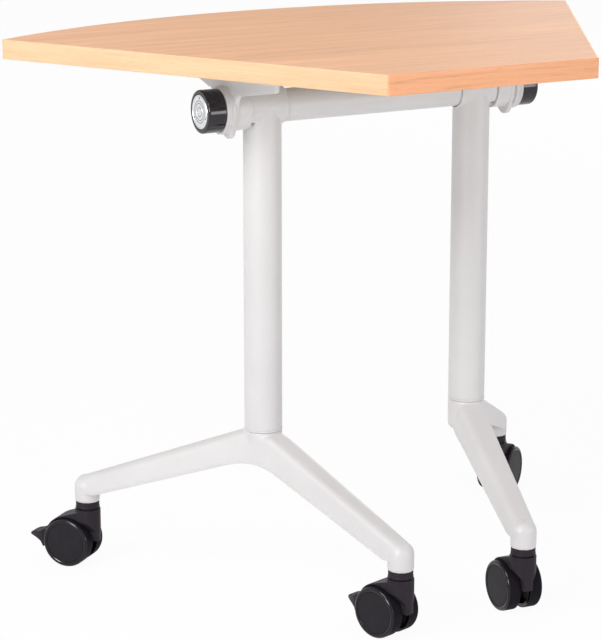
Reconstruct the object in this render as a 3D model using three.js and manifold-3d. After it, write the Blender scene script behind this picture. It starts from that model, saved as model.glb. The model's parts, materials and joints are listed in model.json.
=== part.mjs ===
// Folding corner desk: a 60 degree segment top that flips up on a cross beam between two
// columns, each column on a cast V foot with two braked twin-wheel casters.
// Millimetres, +Z up. The origin is on the floor under the middle of the top.
// +X runs along the pivot axis to the right, +Y to the long curved edge.
import * as THREE from 'three';
import { mergeVertices } from 'three/addons/utils/BufferGeometryUtils.js';
import Module from 'manifold-3d';

const wasm = await Module();
wasm.setup();

// Table top
const TABLE_HEIGHT = 720;
const TOP_THICKNESS = 25;
const EDGE_BAND = 2;
const BAND_ARRIS = 1;
const OUTER_RADIUS = 857;
const INNER_EDGE = 292;
const SEGMENT_ANGLE_DEG = 60;

// Pivot axis and columns
const PIVOT_DROP = 55;
const COLUMN_SPACING = 310;
const COLUMN_DIAMETER = 49;
const COLUMN_WALL = 2.5;
const NECK_DROP = 40;
const SPIGOT_LENGTH = 25;

// Cross beam and head castings, places along the pivot axis from a column's axis
const BEAM_DIAMETER = 42;
const BEAM_WALL = 2.5;
const BEAM_INSERT = 15;
const SLEEVE_INBOARD = 28;
const SLEEVE_LIP = 1.9;
const SLEEVE_LAND = 5.7;
const SLEEVE_DEPTH = 24;
const SLEEVE_BLEND_SHARE = 0.7;
const HEAD_ARRIS = 0.6;
const HEAD_OUTBOARD = 26;

// Top bracket, its ear on the pivot and its stepped outer ring
const WASHER_THICKNESS = 1.5;
const WASHER_DIAMETER = 42;
const BOSS_DIAMETER = 54;
const BOSS_LENGTH = 18.5;
const EAR_THICKNESS = 7;
const EAR_RADIUS = 28;
const EAR_LOBE_REACH = 36;
const EAR_LOBE_RADIUS = 12.5;
const EAR_LOBE_FORWARD = 5;
const EAR_FILLET = 19;
const RING_DIAMETER = 62;
const RING_STEP = 0.5;
const RING_STEP_LENGTH = 3.2;
const RING_STEPS = 3;
const ARM_FRONT_REACH = 135.5;
const ARM_REAR_REACH = 115;
const ARM_ROOT_DEPTH = 31.7;
const ARM_END_DEPTH = 16.6;
const ARM_CORNER = 6;
const FLANGE_WIDTH = 36;
const FLANGE_THICKNESS = 6;
const FLANGE_CORNER = 9;
const SCREWS_PER_ARM = 2;
const SCREW_PITCH = 48;
const SCREW_END_MARGIN = 16;
const SCREW_DIAMETER = 5;
const SCREW_HEAD_DIAMETER = 10;
const SCREW_HEAD_HEIGHT = 3.2;
const SCREW_GRIP = 14;
const SCREW_OFFSET = 11;
const SCREW_CROWN_SHARE = 0.6;

// Spindle, bush and clamp knob
const SPINDLE_DIAMETER = 12;
const SPINDLE_HEAD_DIAMETER = 20;
const SPINDLE_HEAD_HEIGHT = 6;
const BUSH_WALL = 2;
const KNOB_DIAMETER = 55;
const KNOB_LENGTH = 24.6;
const KNOB_FILLET = 4.5;
const KNOB_BORE_DEPTH = 16;
const KNOB_BACK_ARRIS = 0.8;
const DISC_DIAMETER = 43;
const DISC_THICKNESS = 1.5;
const DISC_PROUD = 0.3;

// Foot casting
const FOOT_ARM_LENGTH = 254;
const FRONT_ARM_TOE_IN_DEG = 14.7;
const REAR_ARM_SPLAY_DEG = 41.9;
const FOOT_TOP = 217;
const ARM_ROOT_TOP = 214;
const HUB_UNDERSIDE = 175;
const ARM_ARCH_LENGTH = 50;
const ARM_END_UNDERSIDE = 103;
const ARM_BEND_LENGTH = 46;
const HUB_HALF_WIDTH = 23;
const HUB_TOP_HALF_WIDTH = 18;
const HUB_EDGE_FILLET = 6;
const HUB_BOTTOM_FILLET = 8;
const END_EDGE_FILLET = 9;
const FOOT_LIP_HEIGHT = 3;
const FOOT_LIP_PROUD = 0.8;
const FOOT_WALL = 4.5;
const SOCKET_DIAMETER = 33.4;
const SOCKET_BOTTOM = 90;
const SOCKET_CROWN = 15;
const SOCKET_TOP = 126.5;
const RING_HEIGHT = 3;
const RING_PROUD = 0.3;
const FOOT_BOLT_DIAMETER = 12;
const FOOT_BOLT_HEAD_DIAMETER = 18;
const FOOT_BOLT_HEAD_HEIGHT = 10;
const BOLT_POCKET_DEPTH = 12;
const BOLT_POCKET_DIAMETER = 24;
const PLUG_THICKNESS = 16;
const BOLT_OVERRUN = 4;

// Casters, with a local frame: origin on the floor under the stem, +X trailing, Y along the axle
const WHEEL_DIAMETER = 66;
const WHEEL_WIDTH = 17.8;
const CASTER_TRAIL = 23;
const WEB_THICKNESS = 13.4;
const WHEEL_SIDE_CLEARANCE = 0.5;
const WHEEL_FILLET = 4;
const WHEEL_RIM_WIDTH = 5;
const WHEEL_FACE_STEP = 1;
const WHEEL_HUB_DIAMETER = 16;
const WHEEL_RECESS = 9;
const AXLE_DIAMETER = 8;
const AXLE_GRIP = 13;
const COLLAR_DIAMETER = 31.6;
const COLLAR_FLARE = 1;
const COLLAR_HEIGHT = 8;
const HOOD_DIAMETER = 34.4;
const FENDER_THICKNESS = 2.2;
const FENDER_CLEARANCE = 0.8;
const FENDER_START_DEG = 74;
const FENDER_END_DEG = 24;
const FENDER_END_ROUND_DEG = 2;
const FENDER_HALF_WIDTH_AT_END = 15.5;
const FENDER_END_CORNER = 5;
const HOOD_SHOULDER_DROP = 2;
const HOOD_UNDERSIDE = 35;
const HOOD_CHAMFER_TOP = 62;
const HOOD_CHAMFER_BOTTOM = 48;
const WEB_FRONT_DEG = 215;
const WEB_LOWEST_DEG = 300;
const WEB_TAIL_BOTTOM_DEG = -40;
const WEB_TAIL_TOP_DEG = 20;
const AXLE_BOSS_DIAMETER = 24;
const STEM_PIN_DIAMETER = 11;
const STEM_PIN_LENGTH = 32;
const SWIVEL_PIN_LENGTH = 26;
const PEDAL_REACH = 63;
const PEDAL_ROOT_REACH = 41;
const PEDAL_CREST_REACH = 51;
const PEDAL_CREST_RISE = 7;
const PEDAL_SHOE_THICKNESS = 6;
const PEDAL_HEEL_THICKNESS = 9.5;
const PEDAL_TIP_RISE = 1.5;
const PEDAL_TIP_THICKNESS = 2.6;
const PEDAL_WIDTH = 30;
const PEDAL_TIP_WIDTH = 5;
const PEDAL_MIDDLE_SHARE = 0.76;
const PEDAL_TOP_DEG = 21;
const PEDAL_THROAT_DEG = -16;
const PEDAL_BOTTOM_DEG = -32;
const PEDAL_WEB = 5;
const PEDAL_WEB_TOP_DEG = 19;
const PEDAL_WEB_BOTTOM_DEG = -24;
const PEDAL_SLOT_BOTTOM_DEG = -75;
const PEDAL_EYE_DIAMETER = 17;

// Rest headings of the trailing sides, degrees from +Y towards +X
const CASTER_HEADINGS_DEG = { left_rear: 320, left_front: 342, right_front: 4, right_rear: 52 };

// Clearances
const SEAT_GAP = 0.3;
const GLUE_LINE = 0.2;
const RUNNING_GAP = 0.3;
const CUT_OVERRUN = 5;

// Values that follow
const HALF_ANGLE = THREE.MathUtils.degToRad(SEGMENT_ANGLE_DEG / 2);
const INNER_DISTANCE = INNER_EDGE / 2 / Math.tan(HALF_ANGLE);
const APEX_Y = -(INNER_DISTANCE + OUTER_RADIUS) / 2;
const PIVOT_HEIGHT = TABLE_HEIGHT - TOP_THICKNESS - PIVOT_DROP;
const COLUMN_X = COLUMN_SPACING / 2;
const COLUMN_RADIUS = COLUMN_DIAMETER / 2;
const COLUMN_BORE_RADIUS = COLUMN_RADIUS - COLUMN_WALL;
const COLUMN_BOTTOM = FOOT_TOP + RING_HEIGHT;
const COLUMN_TOP = PIVOT_HEIGHT - NECK_DROP;
const SPIGOT_RADIUS = COLUMN_BORE_RADIUS - SEAT_GAP;
const SLEEVE_X = COLUMN_X - SLEEVE_INBOARD;
const SLEEVE_FLOOR_X = SLEEVE_X + SLEEVE_DEPTH;
const HEAD_X = COLUMN_X + HEAD_OUTBOARD;
const BOSS_X = HEAD_X + WASHER_THICKNESS;
const EAR_X = BOSS_X + BOSS_LENGTH;
const RING_X = EAR_X + EAR_THICKNESS;
const RING_END_X = RING_X + RING_STEP_LENGTH * RING_STEPS;
const KNOB_X = RING_END_X + RUNNING_GAP;
const KNOB_END_X = KNOB_X + KNOB_LENGTH;
const SPINDLE_RADIUS = SPINDLE_DIAMETER / 2;
const BUSH_RADIUS = SPINDLE_RADIUS + RUNNING_GAP + BUSH_WALL;
const SOCKET_RADIUS = SOCKET_DIAMETER / 2;
const AXLE_Z = WHEEL_DIAMETER / 2;
const WEB_HALF = WEB_THICKNESS / 2;
const WHEEL_START = WEB_HALF + WHEEL_SIDE_CLEARANCE;
const COLLAR_TOP = SOCKET_BOTTOM - SEAT_GAP;
const COLLAR_BOTTOM = COLLAR_TOP - COLLAR_HEIGHT;
const HOOD_TOP = COLLAR_BOTTOM - RUNNING_GAP;
const HOOD_RADIUS = HOOD_DIAMETER / 2;
const FENDER_INNER = WHEEL_DIAMETER / 2 + FENDER_CLEARANCE;
const FENDER_OUTER = FENDER_INNER + FENDER_THICKNESS;

// Round counts
const SIDES = {
  column: 20, barrel: 20, knob: 24, socket: 16, wheel: 18, hood: 16, small: 10, screw: 6, curve: 4,
  fillet: 2, edge: 3, dome: 3, arc: 32,
};
const BEND_STEPS = 3;
const HOOD_BOSS_STEPS = 3;
const HOOD_COVER_STEPS = 4;

const MATERIALS = {
  beech: new THREE.MeshStandardMaterial({ color: 0xe6bc96, roughness: 0.5 }),
  edge: new THREE.MeshStandardMaterial({ color: 0xf4c08a, roughness: 0.45 }),
  frame: new THREE.MeshStandardMaterial({ color: 0xdedbd8, roughness: 0.55 }),
  black: new THREE.MeshStandardMaterial({ color: 0x3a3638, roughness: 0.4 }),
  disc: new THREE.MeshStandardMaterial({ color: 0xd2d4dc, roughness: 0.35, metalness: 0.8 }),
  steel: new THREE.MeshStandardMaterial({ color: 0xa8a8a6, roughness: 0.35, metalness: 0.9 }),
  bush: new THREE.MeshStandardMaterial({ color: 0x8a8884, roughness: 0.6 }),
};

// Solids from three.js geometries, and back
function solidOf(geometry) {
  const bare = geometry.clone();
  bare.deleteAttribute('normal');
  bare.deleteAttribute('uv');
  const merged = mergeVertices(bare, 1e-4);
  const index = merged.index.array;
  const kept = [];
  for (let i = 0; i < index.length; i += 3) {
    const [a, b, c] = [index[i], index[i + 1], index[i + 2]];
    if (a !== b && b !== c && c !== a) kept.push(a, b, c);
  }
  const vertProperties = new Float32Array(merged.attributes.position.array);
  const triVerts = new Uint32Array(kept);
  return new wasm.Manifold(new wasm.Mesh({ numProp: 3, vertProperties, triVerts }));
}

function geometryOf(solid) {
  const mesh = solid.getMesh();
  const positions = new Float32Array((mesh.vertProperties.length / mesh.numProp) * 3);
  for (let i = 0; i < positions.length / 3; i += 1) {
    for (let k = 0; k < 3; k += 1) positions[3 * i + k] = mesh.vertProperties[mesh.numProp * i + k];
  }
  const geometry = new THREE.BufferGeometry();
  geometry.setAttribute('position', new THREE.BufferAttribute(positions, 3));
  geometry.setIndex(new THREE.BufferAttribute(new Uint32Array(mesh.triVerts), 1));
  geometry.computeVertexNormals();
  return geometry;
}

function joined(...solids) {
  return solids.reduce((whole, next) => whole.add(next));
}

function cutBy(solid, ...cutters) {
  return cutters.reduce((rest, cutter) => rest.subtract(cutter), solid);
}

// The mirror image across the YZ plane, with its faces still pointing out
function mirrored(geometry) {
  const copy = geometry.clone();
  copy.scale(-1, 1, 1);
  const index = copy.index.array;
  for (let i = 0; i < index.length; i += 3) {
    const swap = index[i];
    index[i] = index[i + 1];
    index[i + 1] = swap;
  }
  copy.computeVertexNormals();
  return copy;
}

// A revolved solid. The profile lists [radius, height] along the axis, in either direction
function revolved(profile, axis, sides, phase = 0) {
  let area = 0;
  profile.forEach(([r, h], i) => {
    const [nextR, nextH] = profile[(i + 1) % profile.length];
    area += r * nextH - nextR * h;
  });
  const points = (area > 0 ? profile : [...profile].reverse()).map(([r, h]) => new THREE.Vector2(r, h));
  const onAxis = points[0].x === 0 && points[points.length - 1].x === 0;
  if (!onAxis) points.push(points[0].clone());
  const geometry = new THREE.LatheGeometry(points, sides, phase);
  if (axis === 'x') geometry.rotateZ(-Math.PI / 2);
  if (axis === 'z') geometry.rotateX(Math.PI / 2);
  return solidOf(geometry);
}

function rod(radius, from, to, axis, sides) {
  return revolved([[0, from], [radius, from], [radius, to], [0, to]], axis, sides);
}

function tube(outer, inner, from, to, axis, sides) {
  return revolved([[inner, from], [outer, from], [outer, to], [inner, to]], axis, sides);
}

// The corner radius of a bore of that many sides whose flats lie on a radius
function flatsOn(radius, sides) {
  return radius / Math.cos(Math.PI / sides);
}

function placed(solid, x, y, z) {
  return solidOf(geometryOf(solid).translate(x, y, z));
}

// A flat shape in the XY plane made solid between two heights
function slab(shape, from, to, curveSegments = SIDES.small) {
  const settings = { depth: to - from, bevelEnabled: false, curveSegments };
  return solidOf(new THREE.ExtrudeGeometry(shape, settings).translate(0, 0, from));
}

// A shape drawn as (y, z) made solid between two x places
function slabAlongX(shape, from, to, curveSegments = SIDES.small) {
  const settings = { depth: to - from, bevelEnabled: false, curveSegments };
  const geometry = new THREE.ExtrudeGeometry(shape, settings);
  geometry.translate(0, 0, from);
  geometry.rotateY(Math.PI / 2);
  geometry.rotateX(Math.PI / 2);
  return solidOf(geometry);
}

// A shape drawn as (x, z) made solid across the local Y axis
function slabAlongY(shape, half, curveSegments = SIDES.small) {
  const settings = { depth: 2 * half, bevelEnabled: false, curveSegments };
  const geometry = new THREE.ExtrudeGeometry(shape, settings);
  geometry.translate(0, 0, -half);
  geometry.rotateX(Math.PI / 2);
  return solidOf(geometry);
}

function polygon(points) {
  return new THREE.Shape(points.map(([x, y]) => new THREE.Vector2(x, y)));
}

// A closed solid through rings of equally many points
function lofted(rings) {
  const count = rings[0].length;
  const positions = [];
  rings.forEach((ring) => ring.forEach((point) => positions.push(...point)));
  const triangles = [];
  for (let r = 0; r + 1 < rings.length; r += 1) {
    for (let i = 0; i < count; i += 1) {
      const next = (i + 1) % count;
      const [a, b, c, d] = [r * count + i, r * count + next, (r + 1) * count + next, (r + 1) * count + i];
      triangles.push(a, b, c, a, c, d);
    }
  }
  const outline = rings[0].map(([, , z], i) => new THREE.Vector2(ringAcross(rings[0], i), z));
  const last = (rings.length - 1) * count;
  const facing = THREE.ShapeUtils.area(outline);
  THREE.ShapeUtils.triangulateShape(outline, []).forEach((corners) => {
    const alike = THREE.ShapeUtils.area(corners.map((i) => outline[i])) * facing > 0;
    const [a, b, c] = alike ? corners : [...corners].reverse();
    triangles.push(a, c, b, last + a, last + b, last + c);
  });
  const geometry = new THREE.BufferGeometry();
  geometry.setAttribute('position', new THREE.BufferAttribute(new Float32Array(positions), 3));
  geometry.setIndex(triangles);
  const solid = solidOf(geometry);
  if (solid.volume() > 0) return solid;
  const turned = [];
  for (let i = 0; i < triangles.length; i += 3) {
    turned.push(triangles[i], triangles[i + 2], triangles[i + 1]);
  }
  geometry.setIndex(turned);
  return solidOf(geometry);
}

// How far a ring's point lies across the ring, from its first point
function ringAcross(ring, i) {
  const [x0, y0] = ring[0];
  const widest = ring.reduce((best, p) => {
    const far = Math.hypot(p[0] - x0, p[1] - y0);
    return far > best[0] ? [far, p[0] - x0, p[1] - y0] : best;
  }, [0, 1, 0]);
  return ((ring[i][0] - x0) * widest[1] + (ring[i][1] - y0) * widest[2]) / widest[0];
}

const desk = new THREE.Group();

function addPiece(parent, name, shape, material) {
  const mesh = new THREE.Mesh(shape.isBufferGeometry ? shape : geometryOf(shape), MATERIALS[material]);
  mesh.name = name;
  parent.add(mesh);
  return mesh;
}

// The same piece on both sides: the solid is modelled for the right side
function addPair(parent, name, solid, material) {
  const geometry = geometryOf(solid);
  addPiece(parent, `right_${name}`, geometry, material);
  addPiece(parent, `left_${name}`, mirrored(geometry), material);
}

// Table top: a board with four glued edge bands, in the frame of the pivot axis
const BOARD_LOW = PIVOT_DROP;
const BOARD_HIGH = PIVOT_DROP + TOP_THICKNESS;
const SIN_HALF = Math.sin(HALF_ANGLE);
const COS_HALF = Math.cos(HALF_ANGLE);

// A point of the right side line, `inset` in from the edge and `along` from the apex
function sidePoint(inset, along) {
  return [along * SIN_HALF - inset * COS_HALF, APEX_Y + along * COS_HALF + inset * SIN_HALF];
}

function arcReach(radius, inset) {
  return Math.sqrt(radius * radius - inset * inset);
}

function chordReach(inset, chordInset) {
  return (INNER_DISTANCE + chordInset - inset * SIN_HALF) / COS_HALF;
}

function boardOutline(inset) {
  const radius = OUTER_RADIUS - inset;
  const outer = sidePoint(inset, arcReach(radius, inset));
  const inner = sidePoint(inset, chordReach(inset, inset));
  const swing = Math.atan2(outer[0], outer[1] - APEX_Y);
  const points = [[-inner[0], inner[1]], inner];
  for (let i = 0; i <= SIDES.arc; i += 1) {
    const angle = swing * (1 - (2 * i) / SIDES.arc);
    points.push([radius * Math.sin(angle), APEX_Y + radius * Math.cos(angle)]);
  }
  return polygon(points);
}

// The band's section: how far in from the edge, and the height
function bandSection() {
  return [
    [EDGE_BAND, BOARD_LOW], [BAND_ARRIS, BOARD_LOW], [0, BOARD_LOW + BAND_ARRIS],
    [0, BOARD_HIGH - BAND_ARRIS], [BAND_ARRIS, BOARD_HIGH], [EDGE_BAND, BOARD_HIGH],
  ];
}

function outerBand() {
  const rings = [];
  for (let i = 0; i <= SIDES.arc; i += 1) {
    const angle = HALF_ANGLE * ((2 * i) / SIDES.arc - 1);
    rings.push(bandSection().map(([inset, z]) => {
      const radius = OUTER_RADIUS - inset;
      return [radius * Math.sin(angle), APEX_Y + radius * Math.cos(angle), z];
    }));
  }
  return lofted(rings);
}

function innerBand() {
  const ring = (side) => bandSection().map(([inset, z]) => {
    const distance = INNER_DISTANCE + inset;
    return [side * distance * Math.tan(HALF_ANGLE), APEX_Y + distance, z];
  });
  return lofted([ring(-1), ring(1)]);
}

function sideBand() {
  const joint = EDGE_BAND + GLUE_LINE;
  const ring = (reach) => bandSection().map(([inset, z]) => [...sidePoint(inset, reach(inset)), z]);
  return lofted([
    ring((inset) => chordReach(inset, joint)),
    ring((inset) => arcReach(OUTER_RADIUS - joint, inset)),
  ]);
}

const FLANGE_X = EAR_X + EAR_THICKNESS / 2;

// Where the bracket's screws go, along Y
function screwPlaces() {
  const places = [];
  for (let i = 0; i < SCREWS_PER_ARM; i += 1) {
    const fromEnd = SCREW_END_MARGIN + i * SCREW_PITCH;
    const aside = i % 2 === 0 ? SCREW_OFFSET : -SCREW_OFFSET;
    places.push([FLANGE_X + aside, ARM_REAR_REACH - fromEnd]);
    places.push([FLANGE_X - aside, fromEnd - ARM_FRONT_REACH]);
  }
  return places;
}

function tableBoard() {
  const pilotEnd = BOARD_LOW + SCREW_GRIP + SEAT_GAP;
  const pilot = rod(SCREW_DIAMETER / 2 + SEAT_GAP, BOARD_LOW - CUT_OVERRUN, pilotEnd, 'z', SIDES.screw);
  const pilots = [];
  screwPlaces().forEach(([x, y]) => pilots.push(placed(pilot, x, y, 0), placed(pilot, -x, y, 0)));
  return cutBy(slab(boardOutline(EDGE_BAND + GLUE_LINE), BOARD_LOW, BOARD_HIGH), ...pilots);
}

// Top bracket: an ear on the pivot, its bosses, two tapering arms and a screwed flange
function earOutline() {
  const rootLow = PIVOT_DROP - ARM_ROOT_DEPTH;
  const endLow = PIVOT_DROP - ARM_END_DEPTH;
  const rootY = EAR_RADIUS + EAR_FILLET;
  const lobe = [-EAR_LOBE_FORWARD, EAR_LOBE_RADIUS - EAR_LOBE_REACH];
  const toLobe = 2 * Math.PI + Math.atan2(lobe[1], lobe[0]);
  const spread = Math.acos((EAR_RADIUS - EAR_LOBE_RADIUS) / Math.hypot(...lobe));
  const shape = new THREE.Shape();
  shape.moveTo(-ARM_FRONT_REACH, PIVOT_DROP);
  shape.lineTo(-ARM_FRONT_REACH, endLow + ARM_CORNER);
  shape.quadraticCurveTo(-ARM_FRONT_REACH, endLow, ARM_CORNER - ARM_FRONT_REACH, endLow);
  shape.lineTo(-rootY, rootLow);
  shape.quadraticCurveTo(-EAR_RADIUS, rootLow, -EAR_RADIUS, rootLow - EAR_FILLET);
  shape.absarc(0, 0, EAR_RADIUS, Math.PI, toLobe - spread, false);
  shape.absarc(...lobe, EAR_LOBE_RADIUS, toLobe - spread, toLobe + spread, false);
  shape.absarc(0, 0, EAR_RADIUS, toLobe + spread, 2 * Math.PI, false);
  shape.lineTo(EAR_RADIUS, rootLow - EAR_FILLET);
  shape.quadraticCurveTo(EAR_RADIUS, rootLow, rootY, rootLow);
  shape.lineTo(ARM_REAR_REACH - ARM_CORNER, endLow);
  shape.quadraticCurveTo(ARM_REAR_REACH, endLow, ARM_REAR_REACH, endLow + ARM_CORNER);
  shape.lineTo(ARM_REAR_REACH, PIVOT_DROP);
  return shape;
}

function flangeOutline() {
  const halfWidth = FLANGE_WIDTH / 2;
  const r = FLANGE_CORNER;
  const shape = new THREE.Shape();
  shape.absarc(FLANGE_X + halfWidth - r, ARM_REAR_REACH - r, r, 0, Math.PI / 2, false);
  shape.absarc(FLANGE_X - halfWidth + r, ARM_REAR_REACH - r, r, Math.PI / 2, Math.PI, false);
  shape.absarc(FLANGE_X - halfWidth + r, r - ARM_FRONT_REACH, r, Math.PI, 1.5 * Math.PI, false);
  shape.absarc(FLANGE_X + halfWidth - r, r - ARM_FRONT_REACH, r, 1.5 * Math.PI, 2 * Math.PI, false);
  return shape;
}

function topBracket() {
  const ear = slabAlongX(earOutline(), EAR_X, RING_X, SIDES.curve);
  const flange = slab(flangeOutline(), PIVOT_DROP - FLANGE_THICKNESS, PIVOT_DROP, SIDES.curve);
  const boss = rod(BOSS_DIAMETER / 2, BOSS_X, EAR_X + EAR_THICKNESS / 2, 'x', SIDES.barrel);
  const boreEnd = RING_END_X + CUT_OVERRUN;
  const bore = rod(BUSH_RADIUS + SEAT_GAP, BOSS_X - CUT_OVERRUN, boreEnd, 'x', SIDES.small);
  const holeBottom = PIVOT_DROP - FLANGE_THICKNESS - CUT_OVERRUN;
  const hole = rod(SCREW_DIAMETER / 2 + SEAT_GAP, holeBottom, PIVOT_DROP + CUT_OVERRUN, 'z', SIDES.screw);
  const holes = screwPlaces().map(([x, y]) => placed(hole, x, y, 0));
  return cutBy(joined(ear, flange, boss, steppedRing()), bore, ...holes);
}

// The rings that step in from the ear to the knob
function steppedRing() {
  const profile = [[0, EAR_X + EAR_THICKNESS / 2]];
  for (let i = 0; i < RING_STEPS; i += 1) {
    const radius = RING_DIAMETER / 2 - i * RING_STEP;
    const start = i === 0 ? EAR_X + EAR_THICKNESS / 2 : RING_X + i * RING_STEP_LENGTH;
    profile.push([radius, start], [radius, RING_X + (i + 1) * RING_STEP_LENGTH]);
  }
  profile.push([0, RING_END_X]);
  return revolved(profile, 'x', SIDES.barrel);
}

// A pan-head screw up through the flange into the board
function bracketScrew([x, y]) {
  const head = SCREW_HEAD_DIAMETER / 2;
  const shank = SCREW_DIAMETER / 2;
  const under = PIVOT_DROP - FLANGE_THICKNESS - SEAT_GAP;
  const low = under - SCREW_HEAD_HEIGHT;
  const screw = revolved([
    [0, low], [head * SCREW_CROWN_SHARE, low], [head, low + SCREW_HEAD_HEIGHT / 2], [head, under],
    [shank, under], [shank, PIVOT_DROP + SCREW_GRIP], [0, PIVOT_DROP + SCREW_GRIP],
  ], 'z', SIDES.screw);
  return placed(screw, x, y, 0);
}

function pivotBush() {
  const bore = flatsOn(SPINDLE_RADIUS + RUNNING_GAP, SIDES.small);
  return tube(BUSH_RADIUS, bore, BOSS_X + RUNNING_GAP, RING_END_X, 'x', SIDES.small);
}

// Head casting: a barrel along the pivot axis on a neck that plugs into the column
function headCasting() {
  const sleeve = BEAM_DIAMETER / 2 + SLEEVE_LIP;
  const barrel = revolved([
    [0, SLEEVE_X], [sleeve - SLEEVE_LIP / 2, SLEEVE_X], [sleeve, SLEEVE_X + SLEEVE_LIP],
    [sleeve, SLEEVE_X + SLEEVE_LAND], [COLUMN_RADIUS, SLEEVE_X + SLEEVE_DEPTH * SLEEVE_BLEND_SHARE],
    [COLUMN_RADIUS, HEAD_X - HEAD_ARRIS], [COLUMN_RADIUS - HEAD_ARRIS, HEAD_X], [0, HEAD_X],
  ], 'x', SIDES.barrel);
  const neck = revolved([
    [0, 0], [COLUMN_RADIUS, 0], [COLUMN_RADIUS, -NECK_DROP], [SPIGOT_RADIUS, -NECK_DROP],
    [SPIGOT_RADIUS, -NECK_DROP - SPIGOT_LENGTH], [0, -NECK_DROP - SPIGOT_LENGTH],
  ], 'z', SIDES.column);
  const beamBore = BEAM_DIAMETER / 2 + SEAT_GAP;
  const bore = rod(beamBore, SLEEVE_X - CUT_OVERRUN, SLEEVE_FLOOR_X, 'x', SIDES.barrel);
  const spindleBore = rod(SPINDLE_RADIUS + SEAT_GAP, SLEEVE_FLOOR_X - CUT_OVERRUN, HEAD_X + CUT_OVERRUN,
    'x', SIDES.small);
  return cutBy(joined(barrel, placed(neck, COLUMN_X, 0, 0)), bore, spindleBore);
}

function crossBeam() {
  const end = SLEEVE_X + BEAM_INSERT;
  return tube(BEAM_DIAMETER / 2, BEAM_DIAMETER / 2 - BEAM_WALL, -end, end, 'x', SIDES.barrel);
}

function pivotSpindle() {
  const head = SPINDLE_HEAD_DIAMETER / 2;
  const headEnd = SLEEVE_FLOOR_X - SEAT_GAP;
  const tip = KNOB_X + KNOB_BORE_DEPTH - SEAT_GAP;
  return revolved([
    [0, headEnd - SPINDLE_HEAD_HEIGHT], [head, headEnd - SPINDLE_HEAD_HEIGHT], [head, headEnd],
    [SPINDLE_RADIUS, headEnd], [SPINDLE_RADIUS, tip], [0, tip],
  ], 'x', SIDES.small);
}

function frictionWasher() {
  const bore = SPINDLE_RADIUS + SEAT_GAP;
  return tube(WASHER_DIAMETER / 2, bore, HEAD_X + SEAT_GAP, BOSS_X - SEAT_GAP, 'x', SIDES.socket);
}

// Clamp knob: a rounded front edge, a small arris at the back and a seat for the disc
function clampKnob() {
  const r = KNOB_DIAMETER / 2;
  const bore = flatsOn(SPINDLE_RADIUS + RUNNING_GAP, SIDES.knob);
  const seat = DISC_DIAMETER / 2 + SEAT_GAP;
  const profile = [
    [0, KNOB_X + KNOB_BORE_DEPTH], [bore, KNOB_X + KNOB_BORE_DEPTH], [bore, KNOB_X],
    [r - KNOB_BACK_ARRIS, KNOB_X], [r, KNOB_X + KNOB_BACK_ARRIS],
  ];
  for (let i = 0; i <= SIDES.edge; i += 1) {
    const turn = (Math.PI / 2) * (i / SIDES.edge);
    profile.push([r - KNOB_FILLET * (1 - Math.cos(turn)), KNOB_END_X - KNOB_FILLET * (1 - Math.sin(turn))]);
  }
  const floor = KNOB_END_X - DISC_THICKNESS - SEAT_GAP + DISC_PROUD;
  profile.push([seat, KNOB_END_X], [seat, floor], [0, floor]);
  return revolved(profile, 'x', SIDES.knob);
}

function knobDisc() {
  const r = DISC_DIAMETER / 2;
  const front = KNOB_END_X + DISC_PROUD;
  return revolved([
    [0, front - DISC_THICKNESS], [r, front - DISC_THICKNESS], [r, front - DISC_PROUD],
    [r - DISC_PROUD, front], [0, front],
  ], 'x', SIDES.knob);
}

// Column parts, from the floor up
const PLUG_BOTTOM = COLUMN_BOTTOM + SPIGOT_LENGTH + SEAT_GAP;
const BOLT_SEAT = HUB_UNDERSIDE + BOLT_POCKET_DEPTH;

// A round tube with a threaded plug welded in near its foot
function column() {
  const bore = FOOT_BOLT_DIAMETER / 2 + SEAT_GAP;
  const plugTop = PLUG_BOTTOM + PLUG_THICKNESS;
  const profile = [
    [COLUMN_BORE_RADIUS, COLUMN_BOTTOM], [COLUMN_RADIUS, COLUMN_BOTTOM], [COLUMN_RADIUS, COLUMN_TOP],
    [COLUMN_BORE_RADIUS, COLUMN_TOP], [COLUMN_BORE_RADIUS, plugTop], [bore, plugTop], [bore, PLUG_BOTTOM],
    [COLUMN_BORE_RADIUS, PLUG_BOTTOM],
  ];
  return placed(revolved(profile, 'z', SIDES.column), COLUMN_X, 0, 0);
}

function columnRing() {
  const bore = SPIGOT_RADIUS + SEAT_GAP;
  const ring = tube(COLUMN_RADIUS + RING_PROUD, bore, FOOT_TOP, COLUMN_BOTTOM, 'z', SIDES.column);
  return placed(ring, COLUMN_X, 0, 0);
}

function footBolt() {
  const head = FOOT_BOLT_HEAD_DIAMETER / 2;
  const shank = FOOT_BOLT_DIAMETER / 2;
  const seat = BOLT_SEAT - SEAT_GAP;
  const top = PLUG_BOTTOM + PLUG_THICKNESS + BOLT_OVERRUN;
  const bolt = revolved([
    [0, seat - FOOT_BOLT_HEAD_HEIGHT], [head, seat - FOOT_BOLT_HEAD_HEIGHT], [head, seat], [shank, seat],
    [shank, top], [0, top],
  ], 'z', SIDES.small);
  return placed(bolt, COLUMN_X, 0, 0);
}

// Foot casting: a V of two tapering arms from a hub, each ending in a round caster socket.
// Its frame is the column's axis. The rear arm is the first branch and the front arm the second.
const ARM_DIRECTIONS = [REAR_ARM_SPLAY_DEG, FRONT_ARM_TOE_IN_DEG + 180].map((degrees) => {
  const turn = THREE.MathUtils.degToRad(degrees);
  return [Math.sin(turn), Math.cos(turn)];
});

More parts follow.
